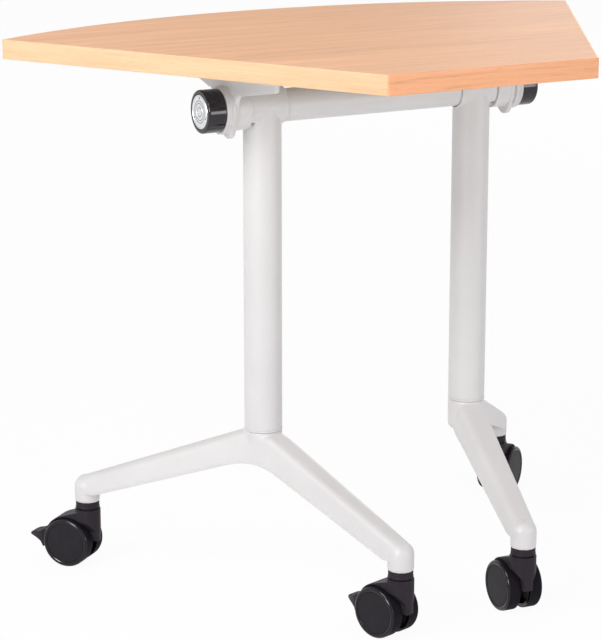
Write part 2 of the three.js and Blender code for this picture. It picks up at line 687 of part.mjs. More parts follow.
// The centre line at a signed distance along the foot: a straight, a soft bend, a straight
function footSpine(distance) {
  const [rear, front] = ARM_DIRECTIONS;
  const direction = distance < 0 ? rear : front;
  if (Math.abs(distance) >= ARM_BEND_LENGTH) {
    const reach = Math.abs(distance);
    const ahead = distance < 0 ? [-rear[0], -rear[1]] : front;
    return { at: [direction[0] * reach, direction[1] * reach], ahead };
  }
  const u = (distance / ARM_BEND_LENGTH + 1) / 2;
  const [startShare, endShare] = [(1 - u) * (1 - u), u * u];
  const at = [0, 1].map((k) => ARM_BEND_LENGTH * (startShare * rear[k] + endShare * front[k]));
  const slope = [0, 1].map((k) => u * front[k] - (1 - u) * rear[k]);
  const length = Math.hypot(...slope);
  return { at, ahead: [slope[0] / length, slope[1] / length] };
}

// The underside: arched under the hub, then a straight slope down to the socket
function armUnderside(reach) {
  const slopeEnd = FOOT_ARM_LENGTH - SOCKET_RADIUS;
  const slope = (HUB_UNDERSIDE - ARM_END_UNDERSIDE) / (slopeEnd - ARM_ARCH_LENGTH / 2);
  if (reach < ARM_ARCH_LENGTH) return HUB_UNDERSIDE - (slope * reach * reach) / (2 * ARM_ARCH_LENGTH);
  return Math.max(ARM_END_UNDERSIDE, ARM_END_UNDERSIDE + slope * (slopeEnd - reach));
}

// Half widths, heights and fillet of the arm at a distance from the hub, less a wall if it is the hollow
function armSection(reach, wall) {
  const share = Math.min(1, Math.max(0, (reach - COLUMN_RADIUS) / (FOOT_ARM_LENGTH - COLUMN_RADIUS)));
  const mix = (a, b) => a + (b - a) * share;
  return {
    bottomHalf: mix(HUB_HALF_WIDTH, SOCKET_RADIUS) - wall,
    topHalf: mix(HUB_TOP_HALF_WIDTH, SOCKET_RADIUS - FOOT_LIP_PROUD * 2) - wall,
    low: armUnderside(reach),
    high: mix(ARM_ROOT_TOP, SOCKET_TOP) - wall,
    fillet: mix(HUB_EDGE_FILLET, END_EDGE_FILLET) - (wall > 0 ? HUB_EDGE_FILLET / 2 : 0),
  };
}

// Half of the section from the lower lip up over the rounded top edge: [across, height]
function halfSection({ bottomHalf, topHalf, low, high, fillet }, lip) {
  const half = lip > 0
    ? [[bottomHalf, low], [bottomHalf, low + FOOT_LIP_HEIGHT], [bottomHalf - lip, low + FOOT_LIP_HEIGHT]]
    : [[bottomHalf, low - CUT_OVERRUN], [bottomHalf, low + FOOT_LIP_HEIGHT]];
  for (let i = 0; i <= SIDES.fillet; i += 1) {
    const turn = (Math.PI / 2) * (i / SIDES.fillet);
    half.push([topHalf - fillet * (1 - Math.cos(turn)), high - fillet * (1 - Math.sin(turn))]);
  }
  return half;
}

function footRing(distance, wall) {
  const { at, ahead } = footSpine(distance);
  const half = halfSection(armSection(Math.abs(distance), wall), wall > 0 ? 0 : FOOT_LIP_PROUD);
  const across = [ahead[1], -ahead[0]];
  const right = half.map(([w, z]) => [at[0] + across[0] * w, at[1] + across[1] * w, z]);
  const left = [...half].reverse().map(([w, z]) => [at[0] - across[0] * w, at[1] - across[1] * w, z]);
  return [...right, ...left];
}

// Stations along the foot, close together round the bend and at the shoulders by the column
function footStations(from, to) {
  const bend = [];
  for (let i = -BEND_STEPS; i <= BEND_STEPS; i += 1) bend.push((ARM_BEND_LENGTH * i) / BEND_STEPS);
  const shoulders = [-COLUMN_RADIUS, COLUMN_RADIUS];
  const all = [from, ...bend, ...shoulders, to].filter((s) => s >= from && s <= to);
  return [...new Set(all)].sort((a, b) => a - b);
}

function footCasting() {
  const arms = lofted(footStations(-FOOT_ARM_LENGTH, FOOT_ARM_LENGTH).map((s) => footRing(s, 0)));
  const hub = revolved([
    [0, HUB_UNDERSIDE], [COLUMN_RADIUS - HUB_BOTTOM_FILLET, HUB_UNDERSIDE],
    [COLUMN_RADIUS, HUB_UNDERSIDE + HUB_BOTTOM_FILLET], [COLUMN_RADIUS, FOOT_TOP],
    [SPIGOT_RADIUS, FOOT_TOP], [SPIGOT_RADIUS, COLUMN_BOTTOM + SPIGOT_LENGTH],
    [0, COLUMN_BOTTOM + SPIGOT_LENGTH],
  ], 'z', SIDES.column);
  const pieces = [arms, hub];
  const cuts = [
    rod(BOLT_POCKET_DIAMETER / 2, HUB_UNDERSIDE - CUT_OVERRUN, BOLT_SEAT, 'z', SIDES.small),
    rod(FOOT_BOLT_DIAMETER / 2 + SEAT_GAP, HUB_UNDERSIDE, PLUG_BOTTOM + CUT_OVERRUN, 'z', SIDES.small),
  ];
  const hollowStart = COLUMN_RADIUS + FOOT_WALL;
  const hollowEnd = FOOT_ARM_LENGTH - SOCKET_RADIUS - FOOT_WALL;
  ARM_DIRECTIONS.forEach(([x, y], branch) => {
    pieces.push(placed(casterSocket(), x * FOOT_ARM_LENGTH, y * FOOT_ARM_LENGTH, 0));
    const bore = rod(STEM_PIN_DIAMETER / 2 + SEAT_GAP, SOCKET_BOTTOM - CUT_OVERRUN,
      SOCKET_BOTTOM + STEM_PIN_LENGTH + SEAT_GAP, 'z', SIDES.small);
    cuts.push(placed(bore, x * FOOT_ARM_LENGTH, y * FOOT_ARM_LENGTH, 0));
    const [from, to] = branch === 0 ? [-hollowEnd, -hollowStart] : [hollowStart, hollowEnd];
    cuts.push(lofted(footStations(from, to).map((s) => footRing(s, FOOT_WALL))));
  });
  return placed(cutBy(joined(...pieces), ...cuts), COLUMN_X, 0, 0);
}

// A round socket with a domed top, which the end of the arm runs into
function casterSocket() {
  const profile = [[0, SOCKET_BOTTOM], [SOCKET_RADIUS, SOCKET_BOTTOM]];
  for (let i = 0; i < SIDES.dome; i += 1) {
    const turn = (Math.PI / 2) * (i / SIDES.dome);
    profile.push([SOCKET_RADIUS * Math.cos(turn), SOCKET_TOP - SOCKET_CROWN * (1 - Math.sin(turn))]);
  }
  profile.push([0, SOCKET_TOP]);
  return revolved(profile, 'z', SIDES.socket);
}

// Casters, in their local frame
function casterStem() {
  const pin = STEM_PIN_DIAMETER / 2;
  const collar = COLLAR_DIAMETER / 2;
  const flare = collar + COLLAR_FLARE;
  const pinBottom = COLLAR_BOTTOM - SWIVEL_PIN_LENGTH;
  const pinTop = SOCKET_BOTTOM + STEM_PIN_LENGTH;
  return revolved([
    [0, pinBottom], [pin, pinBottom], [pin, COLLAR_BOTTOM], [flare, COLLAR_BOTTOM],
    [flare, COLLAR_BOTTOM + COLLAR_FLARE], [collar, COLLAR_TOP], [pin, COLLAR_TOP], [pin, pinTop],
    [0, pinTop],
  ], 'z', SIDES.socket);
}

// A point at a radius and an angle about the axle, seen from the side as (x, z)
function aboutAxle(radius, degrees) {
  const turn = THREE.MathUtils.degToRad(degrees);
  return [CASTER_TRAIL + radius * Math.cos(turn), AXLE_Z + radius * Math.sin(turn)];
}

function arcAboutAxle(radius, fromDeg, toDeg, steps) {
  const stepDeg = (toDeg - fromDeg) / steps;
  const points = [];
  for (let i = 0; i <= steps; i += 1) points.push(aboutAxle(radius, fromDeg + stepDeg * i));
  return points;
}

function onAxle(solid) {
  return placed(solid, CASTER_TRAIL, 0, AXLE_Z);
}

// Half a turn about the vertical axis
function turnedRound(solid) {
  return solidOf(geometryOf(solid).rotateZ(Math.PI));
}

// The hood from the side: shoulder, fender over the wheels, and the web down to the axle boss
function hoodSide() {
  const shoulder = HOOD_TOP - HOOD_SHOULDER_DROP;
  const tail = FENDER_INNER - WHEEL_SIDE_CLEARANCE;
  const coverEnd = FENDER_END_DEG + 2 * FENDER_END_ROUND_DEG;
  return polygon([
    [-HOOD_RADIUS, HOOD_UNDERSIDE], [0, HOOD_UNDERSIDE],
    ...arcAboutAxle(AXLE_BOSS_DIAMETER / 2, WEB_FRONT_DEG, WEB_LOWEST_DEG, HOOD_BOSS_STEPS),
    ...arcAboutAxle(tail, WEB_TAIL_BOTTOM_DEG, WEB_TAIL_TOP_DEG, HOOD_BOSS_STEPS),
    aboutAxle(FENDER_INNER, FENDER_END_DEG),
    aboutAxle(FENDER_OUTER, FENDER_END_DEG + FENDER_END_ROUND_DEG),
    ...arcAboutAxle(FENDER_OUTER, coverEnd, FENDER_START_DEG, HOOD_COVER_STEPS),
    [0, shoulder], [-HOOD_RADIUS, shoulder],
  ]);
}

// The hood from above: round about the stem, drawn in a little at its trailing end
function hoodPlan() {
  const shape = new THREE.Shape();
  const end = CASTER_TRAIL + FENDER_OUTER;
  const shoulder = end - FENDER_END_CORNER;
  shape.absarc(0, 0, HOOD_RADIUS, Math.PI / 2, 1.5 * Math.PI, false);
  shape.lineTo(CASTER_TRAIL, -HOOD_RADIUS);
  shape.lineTo(shoulder, -FENDER_HALF_WIDTH_AT_END);
  shape.lineTo(end, FENDER_END_CORNER / 2 - FENDER_HALF_WIDTH_AT_END);
  shape.lineTo(end, FENDER_HALF_WIDTH_AT_END - FENDER_END_CORNER / 2);
  shape.lineTo(shoulder, FENDER_HALF_WIDTH_AT_END);
  shape.lineTo(CASTER_TRAIL, HOOD_RADIUS);
  return shape;
}

// Where the wheels turn, on both sides of the web
function wheelRooms() {
  const radius = flatsOn(FENDER_INNER, SIDES.wheel);
  const room = rod(radius, WEB_HALF, HOOD_RADIUS + CUT_OVERRUN, 'y', SIDES.wheel);
  return [onAxle(room), onAxle(turnedRound(room))];
}

// The two slopes that draw the round stem housing in to the flat web
function hoodChamfers() {
  const reach = HOOD_RADIUS + CUT_OVERRUN;
  return [-1, 1].map((side) => slabAlongX(polygon([
    [side * WEB_HALF, 0], [side * reach, 0], [side * reach, HOOD_CHAMFER_TOP],
    [side * HOOD_RADIUS, HOOD_CHAMFER_TOP], [side * WEB_HALF, HOOD_CHAMFER_BOTTOM],
  ]), -reach, CASTER_TRAIL / 2));
}

// The slot that lets the pedal's web turn about the axle
function pedalSlot() {
  const half = PEDAL_WEB / 2 + RUNNING_GAP;
  const mouth = FENDER_INNER + RUNNING_GAP;
  const slot = slabAlongY(polygon([
    [CASTER_TRAIL, AXLE_Z],
    ...arcAboutAxle(mouth, PEDAL_TOP_DEG, WEB_TAIL_BOTTOM_DEG, HOOD_BOSS_STEPS),
    aboutAxle(mouth, PEDAL_SLOT_BOTTOM_DEG),
  ]), half);
  return [slot, onAxle(rod(PEDAL_EYE_DIAMETER / 2 + RUNNING_GAP, -half, half, 'y', SIDES.small))];
}

function casterHood() {
  const stem = rod(HOOD_RADIUS, HOOD_UNDERSIDE, HOOD_TOP, 'z', SIDES.hood);
  const plan = slab(hoodPlan(), 0, HOOD_TOP, SIDES.hood / 2);
  const body = joined(slabAlongY(hoodSide(), HOOD_RADIUS).intersect(plan), stem);
  const pinRoom = flatsOn(STEM_PIN_DIAMETER / 2 + RUNNING_GAP, SIDES.small);
  const pinBottom = COLLAR_BOTTOM - SWIVEL_PIN_LENGTH - RUNNING_GAP;
  const pinBore = rod(pinRoom, pinBottom, HOOD_TOP + CUT_OVERRUN, 'z', SIDES.small);
  const axleRoom = AXLE_DIAMETER / 2 + SEAT_GAP;
  const axleBore = onAxle(rod(axleRoom, -HOOD_DIAMETER, HOOD_DIAMETER, 'y', SIDES.small));
  return cutBy(body, ...wheelRooms(), ...hoodChamfers(), pinBore, axleBore, ...pedalSlot());
}

function casterAxle() {
  const end = WEB_HALF + AXLE_GRIP;
  return onAxle(rod(AXLE_DIAMETER / 2, -end, end, 'y', SIDES.small));
}

// A wheel beyond +Y of the web, with a blind bore, a recess inside and a stepped rim outside.
// Its flats, not its corners, lie on the wheel's radius, and one of them rests on the floor.
function casterWheel() {
  const tread = flatsOn(WHEEL_DIAMETER / 2, SIDES.wheel);
  const outside = WHEEL_START + WHEEL_WIDTH;
  const face = outside - WHEEL_FACE_STEP;
  const recess = WHEEL_START + WHEEL_RECESS;
  const bore = flatsOn(AXLE_DIAMETER / 2 + RUNNING_GAP, SIDES.wheel);
  const boreEnd = WEB_HALF + AXLE_GRIP + RUNNING_GAP;
  const hub = WHEEL_HUB_DIAMETER / 2;
  const rim = tread - WHEEL_RIM_WIDTH;
  const profile = [
    [0, boreEnd], [bore, boreEnd], [bore, WHEEL_START], [hub, WHEEL_START], [hub, recess],
    [rim, recess], [rim, WHEEL_START], [tread, WHEEL_START],
  ];
  for (let i = 0; i <= SIDES.fillet; i += 1) {
    const turn = (Math.PI / 2) * (i / SIDES.fillet);
    const inward = WHEEL_FILLET * (1 - Math.cos(turn));
    profile.push([tread - inward, outside - WHEEL_FILLET * (1 - Math.sin(turn))]);
  }
  profile.push([rim, outside], [rim - WHEEL_FACE_STEP, face], [0, face]);
  return onAxle(revolved(profile, 'y', SIDES.wheel, Math.PI / SIDES.wheel));
}

// The pedal from the side: a shoe round the wheels and a beak with a hollow brow and a curved throat
function pedalSide() {
  const inner = FENDER_INNER + RUNNING_GAP;
  const outer = inner + PEDAL_SHOE_THICKNESS;
  const heel = inner + PEDAL_HEEL_THICKNESS;
  const crest = [CASTER_TRAIL + PEDAL_CREST_REACH, AXLE_Z + PEDAL_CREST_RISE];
  const tip = [CASTER_TRAIL + PEDAL_REACH, AXLE_Z + PEDAL_TIP_RISE];
  const brow = aboutAxle(outer, PEDAL_TOP_DEG);
  const throat = aboutAxle(heel, PEDAL_THROAT_DEG);
  const [top, bottom] = [PEDAL_TOP_DEG, PEDAL_BOTTOM_DEG].map(THREE.MathUtils.degToRad);
  const shape = new THREE.Shape();
  shape.absarc(CASTER_TRAIL, AXLE_Z, inner, top, bottom, true);
  shape.lineTo(...aboutAxle(heel - PEDAL_TIP_THICKNESS / 2, PEDAL_BOTTOM_DEG));
  shape.lineTo(...throat);
  shape.quadraticCurveTo(crest[0], tip[1] - PEDAL_TIP_THICKNESS, tip[0], tip[1] - PEDAL_TIP_THICKNESS);
  shape.lineTo(...tip);
  shape.quadraticCurveTo((crest[0] + tip[0]) / 2, crest[1], ...crest);
  shape.quadraticCurveTo((brow[0] + crest[0]) / 2, crest[1], ...brow);
  return shape;
}

// The pedal from above: full width at the shoe, drawn in along two curves to a narrow tip
function pedalPlan() {
  const half = PEDAL_WIDTH / 2;
  const tipHalf = PEDAL_TIP_WIDTH / 2;
  const tip = CASTER_TRAIL + PEDAL_REACH;
  const root = CASTER_TRAIL + PEDAL_ROOT_REACH;
  const middle = (root + tip) / 2;
  const middleHalf = half * PEDAL_MIDDLE_SHARE;
  const shape = new THREE.Shape();
  shape.moveTo(0, -half);
  shape.lineTo(root, -half);
  shape.quadraticCurveTo(middle, -middleHalf, tip, -tipHalf);
  shape.lineTo(tip, tipHalf);
  shape.quadraticCurveTo(middle, middleHalf, root, half);
  shape.lineTo(0, half);
  return shape;
}

function brakePedal() {
  const inside = FENDER_INNER + RUNNING_GAP + PEDAL_SHOE_THICKNESS / 2;
  const beak = slabAlongY(pedalSide(), PEDAL_WIDTH / 2, SIDES.curve);
  const web = slabAlongY(polygon([
    [CASTER_TRAIL, AXLE_Z], aboutAxle(inside, PEDAL_WEB_BOTTOM_DEG), aboutAxle(inside, PEDAL_WEB_TOP_DEG),
  ]), PEDAL_WEB / 2);
  const eye = onAxle(rod(PEDAL_EYE_DIAMETER / 2, -PEDAL_WEB / 2, PEDAL_WEB / 2, 'y', SIDES.small));
  const turning = flatsOn(AXLE_DIAMETER / 2 + RUNNING_GAP, SIDES.small);
  const bore = onAxle(rod(turning, -PEDAL_WEB, PEDAL_WEB, 'y', SIDES.small));
  return cutBy(joined(beak.intersect(slab(pedalPlan(), 0, HOOD_TOP, SIDES.curve)), web, eye), bore);
}

// Assembly
const top = new THREE.Group();
top.position.z = PIVOT_HEIGHT;
addPiece(top, 'tabletop_board', tableBoard(), 'beech');
addPiece(top, 'outer_edge_band', outerBand(), 'edge');
addPiece(top, 'inner_edge_band', innerBand(), 'edge');
addPair(top, 'edge_band', sideBand(), 'edge');
addPair(top, 'top_bracket', topBracket(), 'frame');
screwPlaces().forEach((place, i) => addPair(top, `bracket_screw_${i + 1}`, bracketScrew(place), 'steel'));
addPair(top, 'pivot_bush', pivotBush(), 'bush');
desk.add(top);

const yoke = new THREE.Group();
yoke.position.z = PIVOT_HEIGHT;
addPiece(yoke, 'cross_beam', crossBeam(), 'frame');
addPair(yoke, 'head_casting', headCasting(), 'frame');
addPair(yoke, 'pivot_spindle', pivotSpindle(), 'steel');
addPair(yoke, 'friction_washer', frictionWasher(), 'bush');
addPair(yoke, 'clamp_knob', clampKnob(), 'black');
addPair(yoke, 'knob_disc', knobDisc(), 'disc');
desk.add(yoke);

const base = new THREE.Group();
addPair(base, 'column', column(), 'frame');
addPair(base, 'column_ring', columnRing(), 'frame');
addPair(base, 'foot_bolt', footBolt(), 'steel');
addPair(base, 'foot_casting', footCasting(), 'frame');
desk.add(base);

// One caster under each socket, turned to its rest heading
const stemShape = geometryOf(casterStem());
const hoodShape = geometryOf(casterHood());
const axleShape = geometryOf(casterAxle());
const wheelShape = geometryOf(casterWheel());
const pedalShape = geometryOf(brakePedal());

function addCaster(place) {
  const side = place.startsWith('left') ? -1 : 1;
  const [x, y] = ARM_DIRECTIONS[place.endsWith('rear') ? 0 : 1];
  const socket = new THREE.Group();
  socket.position.set(side * (COLUMN_X + x * FOOT_ARM_LENGTH), y * FOOT_ARM_LENGTH, 0);
  addPiece(socket, `${place}_caster_stem`, stemShape, 'black');
  const swivel = new THREE.Group();
  swivel.rotation.z = THREE.MathUtils.degToRad(90 - CASTER_HEADINGS_DEG[place]);
  addPiece(swivel, `${place}_caster_hood`, hoodShape, 'black');
  addPiece(swivel, `${place}_caster_axle`, axleShape, 'steel');
  addPiece(swivel, `${place}_brake_pedal`, pedalShape, 'black');
  const pair = new THREE.Group();
  pair.position.set(CASTER_TRAIL, 0, AXLE_Z);
  const centred = wheelShape.clone().translate(-CASTER_TRAIL, 0, -AXLE_Z);
  addPiece(pair, `${place}_wheel_a`, centred, 'black');
  addPiece(pair, `${place}_wheel_b`, centred, 'black').rotation.z = Math.PI;
  swivel.add(pair);
  socket.add(swivel);
  desk.add(socket);
}

Object.keys(CASTER_HEADINGS_DEG).forEach(addCaster);

export default desk;
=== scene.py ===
import json
import math

import bmesh
import bpy
from mathutils import Matrix, Vector


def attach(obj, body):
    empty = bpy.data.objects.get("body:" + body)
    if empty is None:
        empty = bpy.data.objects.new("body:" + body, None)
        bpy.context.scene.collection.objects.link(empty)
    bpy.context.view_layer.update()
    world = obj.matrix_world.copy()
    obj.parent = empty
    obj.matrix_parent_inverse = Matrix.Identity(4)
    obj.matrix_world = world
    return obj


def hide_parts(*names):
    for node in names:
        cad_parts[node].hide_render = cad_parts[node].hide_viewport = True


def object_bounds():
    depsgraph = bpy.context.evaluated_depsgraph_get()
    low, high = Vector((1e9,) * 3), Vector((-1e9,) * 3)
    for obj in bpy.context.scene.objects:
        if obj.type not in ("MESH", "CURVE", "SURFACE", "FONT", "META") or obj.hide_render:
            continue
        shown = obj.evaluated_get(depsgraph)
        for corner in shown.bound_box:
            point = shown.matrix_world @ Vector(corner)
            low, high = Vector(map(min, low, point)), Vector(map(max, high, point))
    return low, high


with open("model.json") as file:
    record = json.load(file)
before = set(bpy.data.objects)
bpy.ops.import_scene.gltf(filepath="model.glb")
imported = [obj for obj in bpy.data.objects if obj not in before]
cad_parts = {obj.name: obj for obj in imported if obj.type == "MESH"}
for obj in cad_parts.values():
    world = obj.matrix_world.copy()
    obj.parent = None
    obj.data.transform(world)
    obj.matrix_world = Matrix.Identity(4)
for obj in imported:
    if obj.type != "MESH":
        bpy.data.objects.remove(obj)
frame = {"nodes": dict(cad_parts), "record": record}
cad_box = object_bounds()
nodes = frame["nodes"]

MM = 0.001

# Sizes in millimetres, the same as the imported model's.
# Table top
TABLE_HEIGHT = 720
TOP_THICKNESS = 25
EDGE_BAND = 2
OUTER_RADIUS = 857
INNER_EDGE = 292
SEGMENT_ANGLE = math.radians(60)

# Pivot, columns and beam
PIVOT_DROP = 55
PIVOT_Z = TABLE_HEIGHT - TOP_THICKNESS - PIVOT_DROP
COLUMN_X = 155
COLUMN_RADIUS = 24.5
BEAM_RADIUS = 21
SLEEVE_X = 127
HEAD_X = 181
BOSS_X = 182.5
EAR_X = 201
RING_X = 208
RING_RADIUS = 31
RING_STEP = 3.2
RING_END_X = RING_X + 3 * RING_STEP
KNOB_X = RING_END_X + 0.3
KNOB_END_X = KNOB_X + 24.6
KNOB_RADIUS = 27.5
RECESS_RADIUS = 22.1
RECESS_DEPTH = 1.5
DISC_RADIUS = 21.4
DISC_FRONT_X = KNOB_END_X + 0.25
DISC_DOT_CIRCLE = 17.3
BRACKET_FRONT = 135.5
BRACKET_REAR = 115
FLANGE_THICKNESS = 6
BOSS_RADIUS = 27
BORE_RADIUS = 8.35

# Foot
ARM_LENGTH = 254
REAR_ARM_SPLAY = math.radians(41.9)
FRONT_ARM_TOE_IN = math.radians(14.7)
FOOT_TOP = 217
COLUMN_BOTTOM = 220
COLUMN_TOP = 600
ARM_ROOT_TOP = 214
HUB_UNDERSIDE = 175
ARM_ARCH = 50
ARM_END_UNDERSIDE = 103
ARM_BEND = 46
SOCKET_RADIUS = 16.7
SOCKET_BOTTOM = 90
SOCKET_TOP = 126.5
SOCKET_CROWN = 15
FOOT_WALL = 4.5
LIP_HEIGHT = 2.9
LIP_WIDTH = 2.5

# Casters
WHEEL_RADIUS = 33
WHEEL_WIDTH = 17.8
TRAIL = 23
WEB_HALF = 6.7
HEADINGS = {"left_rear": 320, "left_front": 342, "right_front": 4, "right_rear": 52}

# The camera, as the photograph was taken.
PHOTO_LENS_MM = 140.35
CAMERA_PLACE = (-1.58171, -2.76817, 1.15523)
CAMERA_PITCH_DOWN = 0.2493
CAMERA_YAW = 0.4916


def make_camera():
    """The photograph's view."""
    data = bpy.data.cameras.new("camera")
    data.lens = PHOTO_LENS_MM
    data.sensor_width = 36
    data.clip_start = 0.05
    data.clip_end = 60
    camera = bpy.data.objects.new("camera", data)
    camera.location = CAMERA_PLACE
    camera.rotation_euler = (math.pi / 2 - CAMERA_PITCH_DOWN, 0, -CAMERA_YAW)
    bpy.context.scene.collection.objects.link(camera)
    bpy.context.scene.camera = camera


# Materials
class Shader:
    """A node material being built, with short calls for its nodes."""

    def __init__(self, name, **base):
        self.material = bpy.data.materials.new(name)
        self.material.use_nodes = True
        self.tree = self.material.node_tree
        self.surface = self.tree.nodes["Principled BSDF"]
        for socket, value in base.items():
            self.surface.inputs[socket.replace("_", " ")].default_value = value
        self.place = self.add("TexCoord").outputs["Object"]

    def add(self, kind, **settings):
        node = self.tree.nodes.new("ShaderNode" + kind)
        for name, value in settings.items():
            setattr(node, name, value)
        return node

    def feed(self, socket, value):
        if isinstance(value, bpy.types.NodeSocket):
            self.tree.links.new(value, socket)
        else:
            socket.default_value = value

    def colour(self, value):
        self.feed(self.surface.inputs["Base Color"], value)

    def roughness(self, factor, low, high):
        self.feed(self.surface.inputs["Roughness"], self.span(factor, low, high))

    def stretched(self, scale, place=None, turn=0.0):
        vector = place or self.place
        turned = [("Rotation", (0, 0, turn))] if turn else []
        for setting, value in [*turned, ("Scale", scale)]:
            mapping = self.add("Mapping")
            self.feed(mapping.inputs["Vector"], vector)
            mapping.inputs[setting].default_value = value
            vector = mapping.outputs["Vector"]
        return vector

    def noise(self, scale, detail=4.0, rough=0.5, place=None, distortion=0.0):
        noise = self.add("TexNoise")
        self.feed(noise.inputs["Vector"], place or self.place)
        noise.inputs["Scale"].default_value = scale
        noise.inputs["Detail"].default_value = detail
        noise.inputs["Roughness"].default_value = rough
        noise.inputs["Distortion"].default_value = distortion
        return noise.outputs["Fac"]

    def math(self, operation, a, b=0.0):
        node = self.add("Math", operation=operation)
        self.feed(node.inputs[0], a)
        self.feed(node.inputs[1], b)
        return node.outputs[0]

    def span(self, factor, low, high):
        node = self.add("MapRange")
        self.feed(node.inputs["Value"], factor)
        node.inputs["To Min"].default_value = low
        node.inputs["To Max"].default_value = high
        return node.outputs["Result"]

    def ramp(self, factor, stops):
        ramp = self.add("ValToRGB")
        self.feed(ramp.inputs["Fac"], factor)
        elements = ramp.color_ramp.elements
        while len(elements) < len(stops):
            elements.new(0.5)
        for element, (place, colour) in zip(elements, stops):
            element.position = place
            element.color = (*colour, 1)
        return ramp.outputs["Color"]

    def mixed(self, factor, a, b, kind="MIX"):
        node = self.add("MixRGB", blend_type=kind)
        self.feed(node.inputs["Fac"], factor)
        self.feed(node.inputs["Color1"], a)
        self.feed(node.inputs["Color2"], b)
        return node.outputs["Color"]

    def bump(self, height, distance, strength=1.0):
        bump = self.add("Bump")
        bump.inputs["Distance"].default_value = distance
        bump.inputs["Strength"].default_value = strength
        self.feed(bump.inputs["Height"], height)
        self.feed(self.surface.inputs["Normal"], bump.outputs["Normal"])


def times(colour, share):
    return tuple(c * share for c in colour)


def wood(name, mean, turn=0.0, arc=False, roughness=0.42, contrast=1.0, level=0.4):
    """Beech with its grain along X after a turn, or along the long curved edge."""
    s = Shader(name, Specular_IOR_Level=level)
    place = s.place
    if arc:
        parts = s.add("SeparateXYZ")
        s.feed(parts.inputs[0], place)
        depth = s.math("ADD", parts.outputs["Y"], -APEX_Y * MM)
        angle = s.math("ARCTAN2", parts.outputs["X"], depth)
        joined = s.add("CombineXYZ")
        s.feed(joined.inputs["X"], s.math("MULTIPLY", angle, OUTER_RADIUS * MM))
        s.feed(joined.inputs["Y"], parts.outputs["Z"])
        place = joined.outputs[0]
    wander = s.noise(1.0, 2.0, 0.5, s.stretched((2.2, 9, 9), place, turn))
    shift = s.add("CombineXYZ")
    s.feed(shift.inputs["Y"], s.math("MULTIPLY", wander, 0.012))
    s.feed(shift.inputs["Z"], s.math("MULTIPLY", wander, 0.012))
    wandering = s.add("VectorMath", operation="ADD")
    s.feed(wandering.inputs[0], s.stretched((1, 1, 1), place, turn))
    s.feed(wandering.inputs[1], shift.outputs[0])
    along = wandering.outputs[0]
    bands = s.noise(1.0, 3.0, 0.55, s.stretched((1.6, 34, 34), along))
    streaks = s.noise(1.0, 6.0, 0.62, s.stretched((7, 210, 210), along))
    pores = s.noise(1.0, 3.0, 0.6, s.stretched((42, 1300, 1300), along))
    tone = s.math("ADD", s.math("MULTIPLY", bands, 0.4), s.math("MULTIPLY", streaks, 0.6))
    dark, light = times(mean, 1 - 0.2 * contrast), times(mean, 1 + 0.13 * contrast)
    warm = (mean[0] * 0.97, mean[1] * 0.93, mean[2] * 0.88)
    base = s.ramp(tone, [(0.3, dark), (0.44, warm), (0.54, mean), (0.7, light)])
    fleck = s.ramp(pores, [(0.3, (0.76, 0.66, 0.6)), (0.43, (1, 1, 1))])
    s.colour(s.mixed(0.75, base, fleck, "MULTIPLY"))
    s.roughness(streaks, roughness - 0.05, roughness + 0.06)
    s.bump(s.math("ADD", pores, s.math("MULTIPLY", streaks, 0.6)), 0.00012, 0.35)
    return s.material


def powder_coat():
    """Light grey paint with a fine orange peel."""
    s = Shader("powder_coat")
    cloud = s.noise(14, 4.0, 0.55)
    speck = s.noise(700, 3.0, 0.6)
    mean = (0.735, 0.717, 0.721)
    tone = s.ramp(cloud, [(0.3, times(mean, 0.975)), (0.7, times(mean, 1.02))])
    grain = s.ramp(speck, [(0.35, (0.95, 0.95, 0.95)), (0.6, (1, 1, 1))])
    s.colour(s.mixed(0.6, tone, grain, "MULTIPLY"))
    s.roughness(cloud, 0.36, 0.46)
    peel = s.math("ADD", s.noise(420, 2.0, 0.5), s.math("MULTIPLY", s.noise(1500, 2.0, 0.5), 0.4))
    s.bump(peel, 0.00018, 0.3)
    return s.material


def plastic(name, colour, low, high, grain_scale, grain_depth, level=0.5):
    """Moulded black plastic with a fine eroded grain."""
    s = Shader(name, Specular_IOR_Level=level, Specular_Tint=(1, 0.93, 1, 1))
    cloud = s.noise(45, 5.0, 0.6)
    dust = s.noise(260, 4.0, 0.65)
    tone = s.ramp(cloud, [(0.3, times(colour, 0.86)), (0.7, times(colour, 1.12))])
    pale = s.ramp(dust, [(0.55, (0, 0, 0)), (0.8, (0.006, 0.006, 0.007))])
    s.colour(s.mixed(1.0, tone, pale, "ADD"))
    s.roughness(dust, low, high)
    s.bump(s.noise(grain_scale, 3.0, 0.6), grain_depth, 0.5)
    return s.material


def turned_metal(name, colour, rough, rings_per_metre, axis_height=None):
    """Satin metal turned on a lathe about an axis along X, or with a plain fine brush."""
    s = Shader(name, Metallic=1.0)
    parts = s.add("SeparateXYZ")
    s.feed(parts.inputs[0], s.place)
    if axis_height is None:
        lines = s.noise(1.0, 5.0, 0.6, s.stretched((900, 900, 60)))
    else:
        up = s.math("ADD", parts.outputs["Z"], -axis_height)
        square = s.math("ADD", s.math("MULTIPLY", up, up), s.math("POWER", parts.outputs["Y"], 2.0))
        radius = s.math("SQRT", square)
        ring = s.add("CombineXYZ")
        s.feed(ring.inputs["X"], s.math("MULTIPLY", radius, rings_per_metre))
        lines = s.noise(1.0, 4.0, 0.7, ring.outputs[0])
    s.colour(s.ramp(lines, [(0.3, times(colour, 0.9)), (0.7, times(colour, 1.04))]))
    s.roughness(lines, rough - 0.05, rough + 0.08)
    s.bump(lines, 0.00006, 0.5)
    return s.material


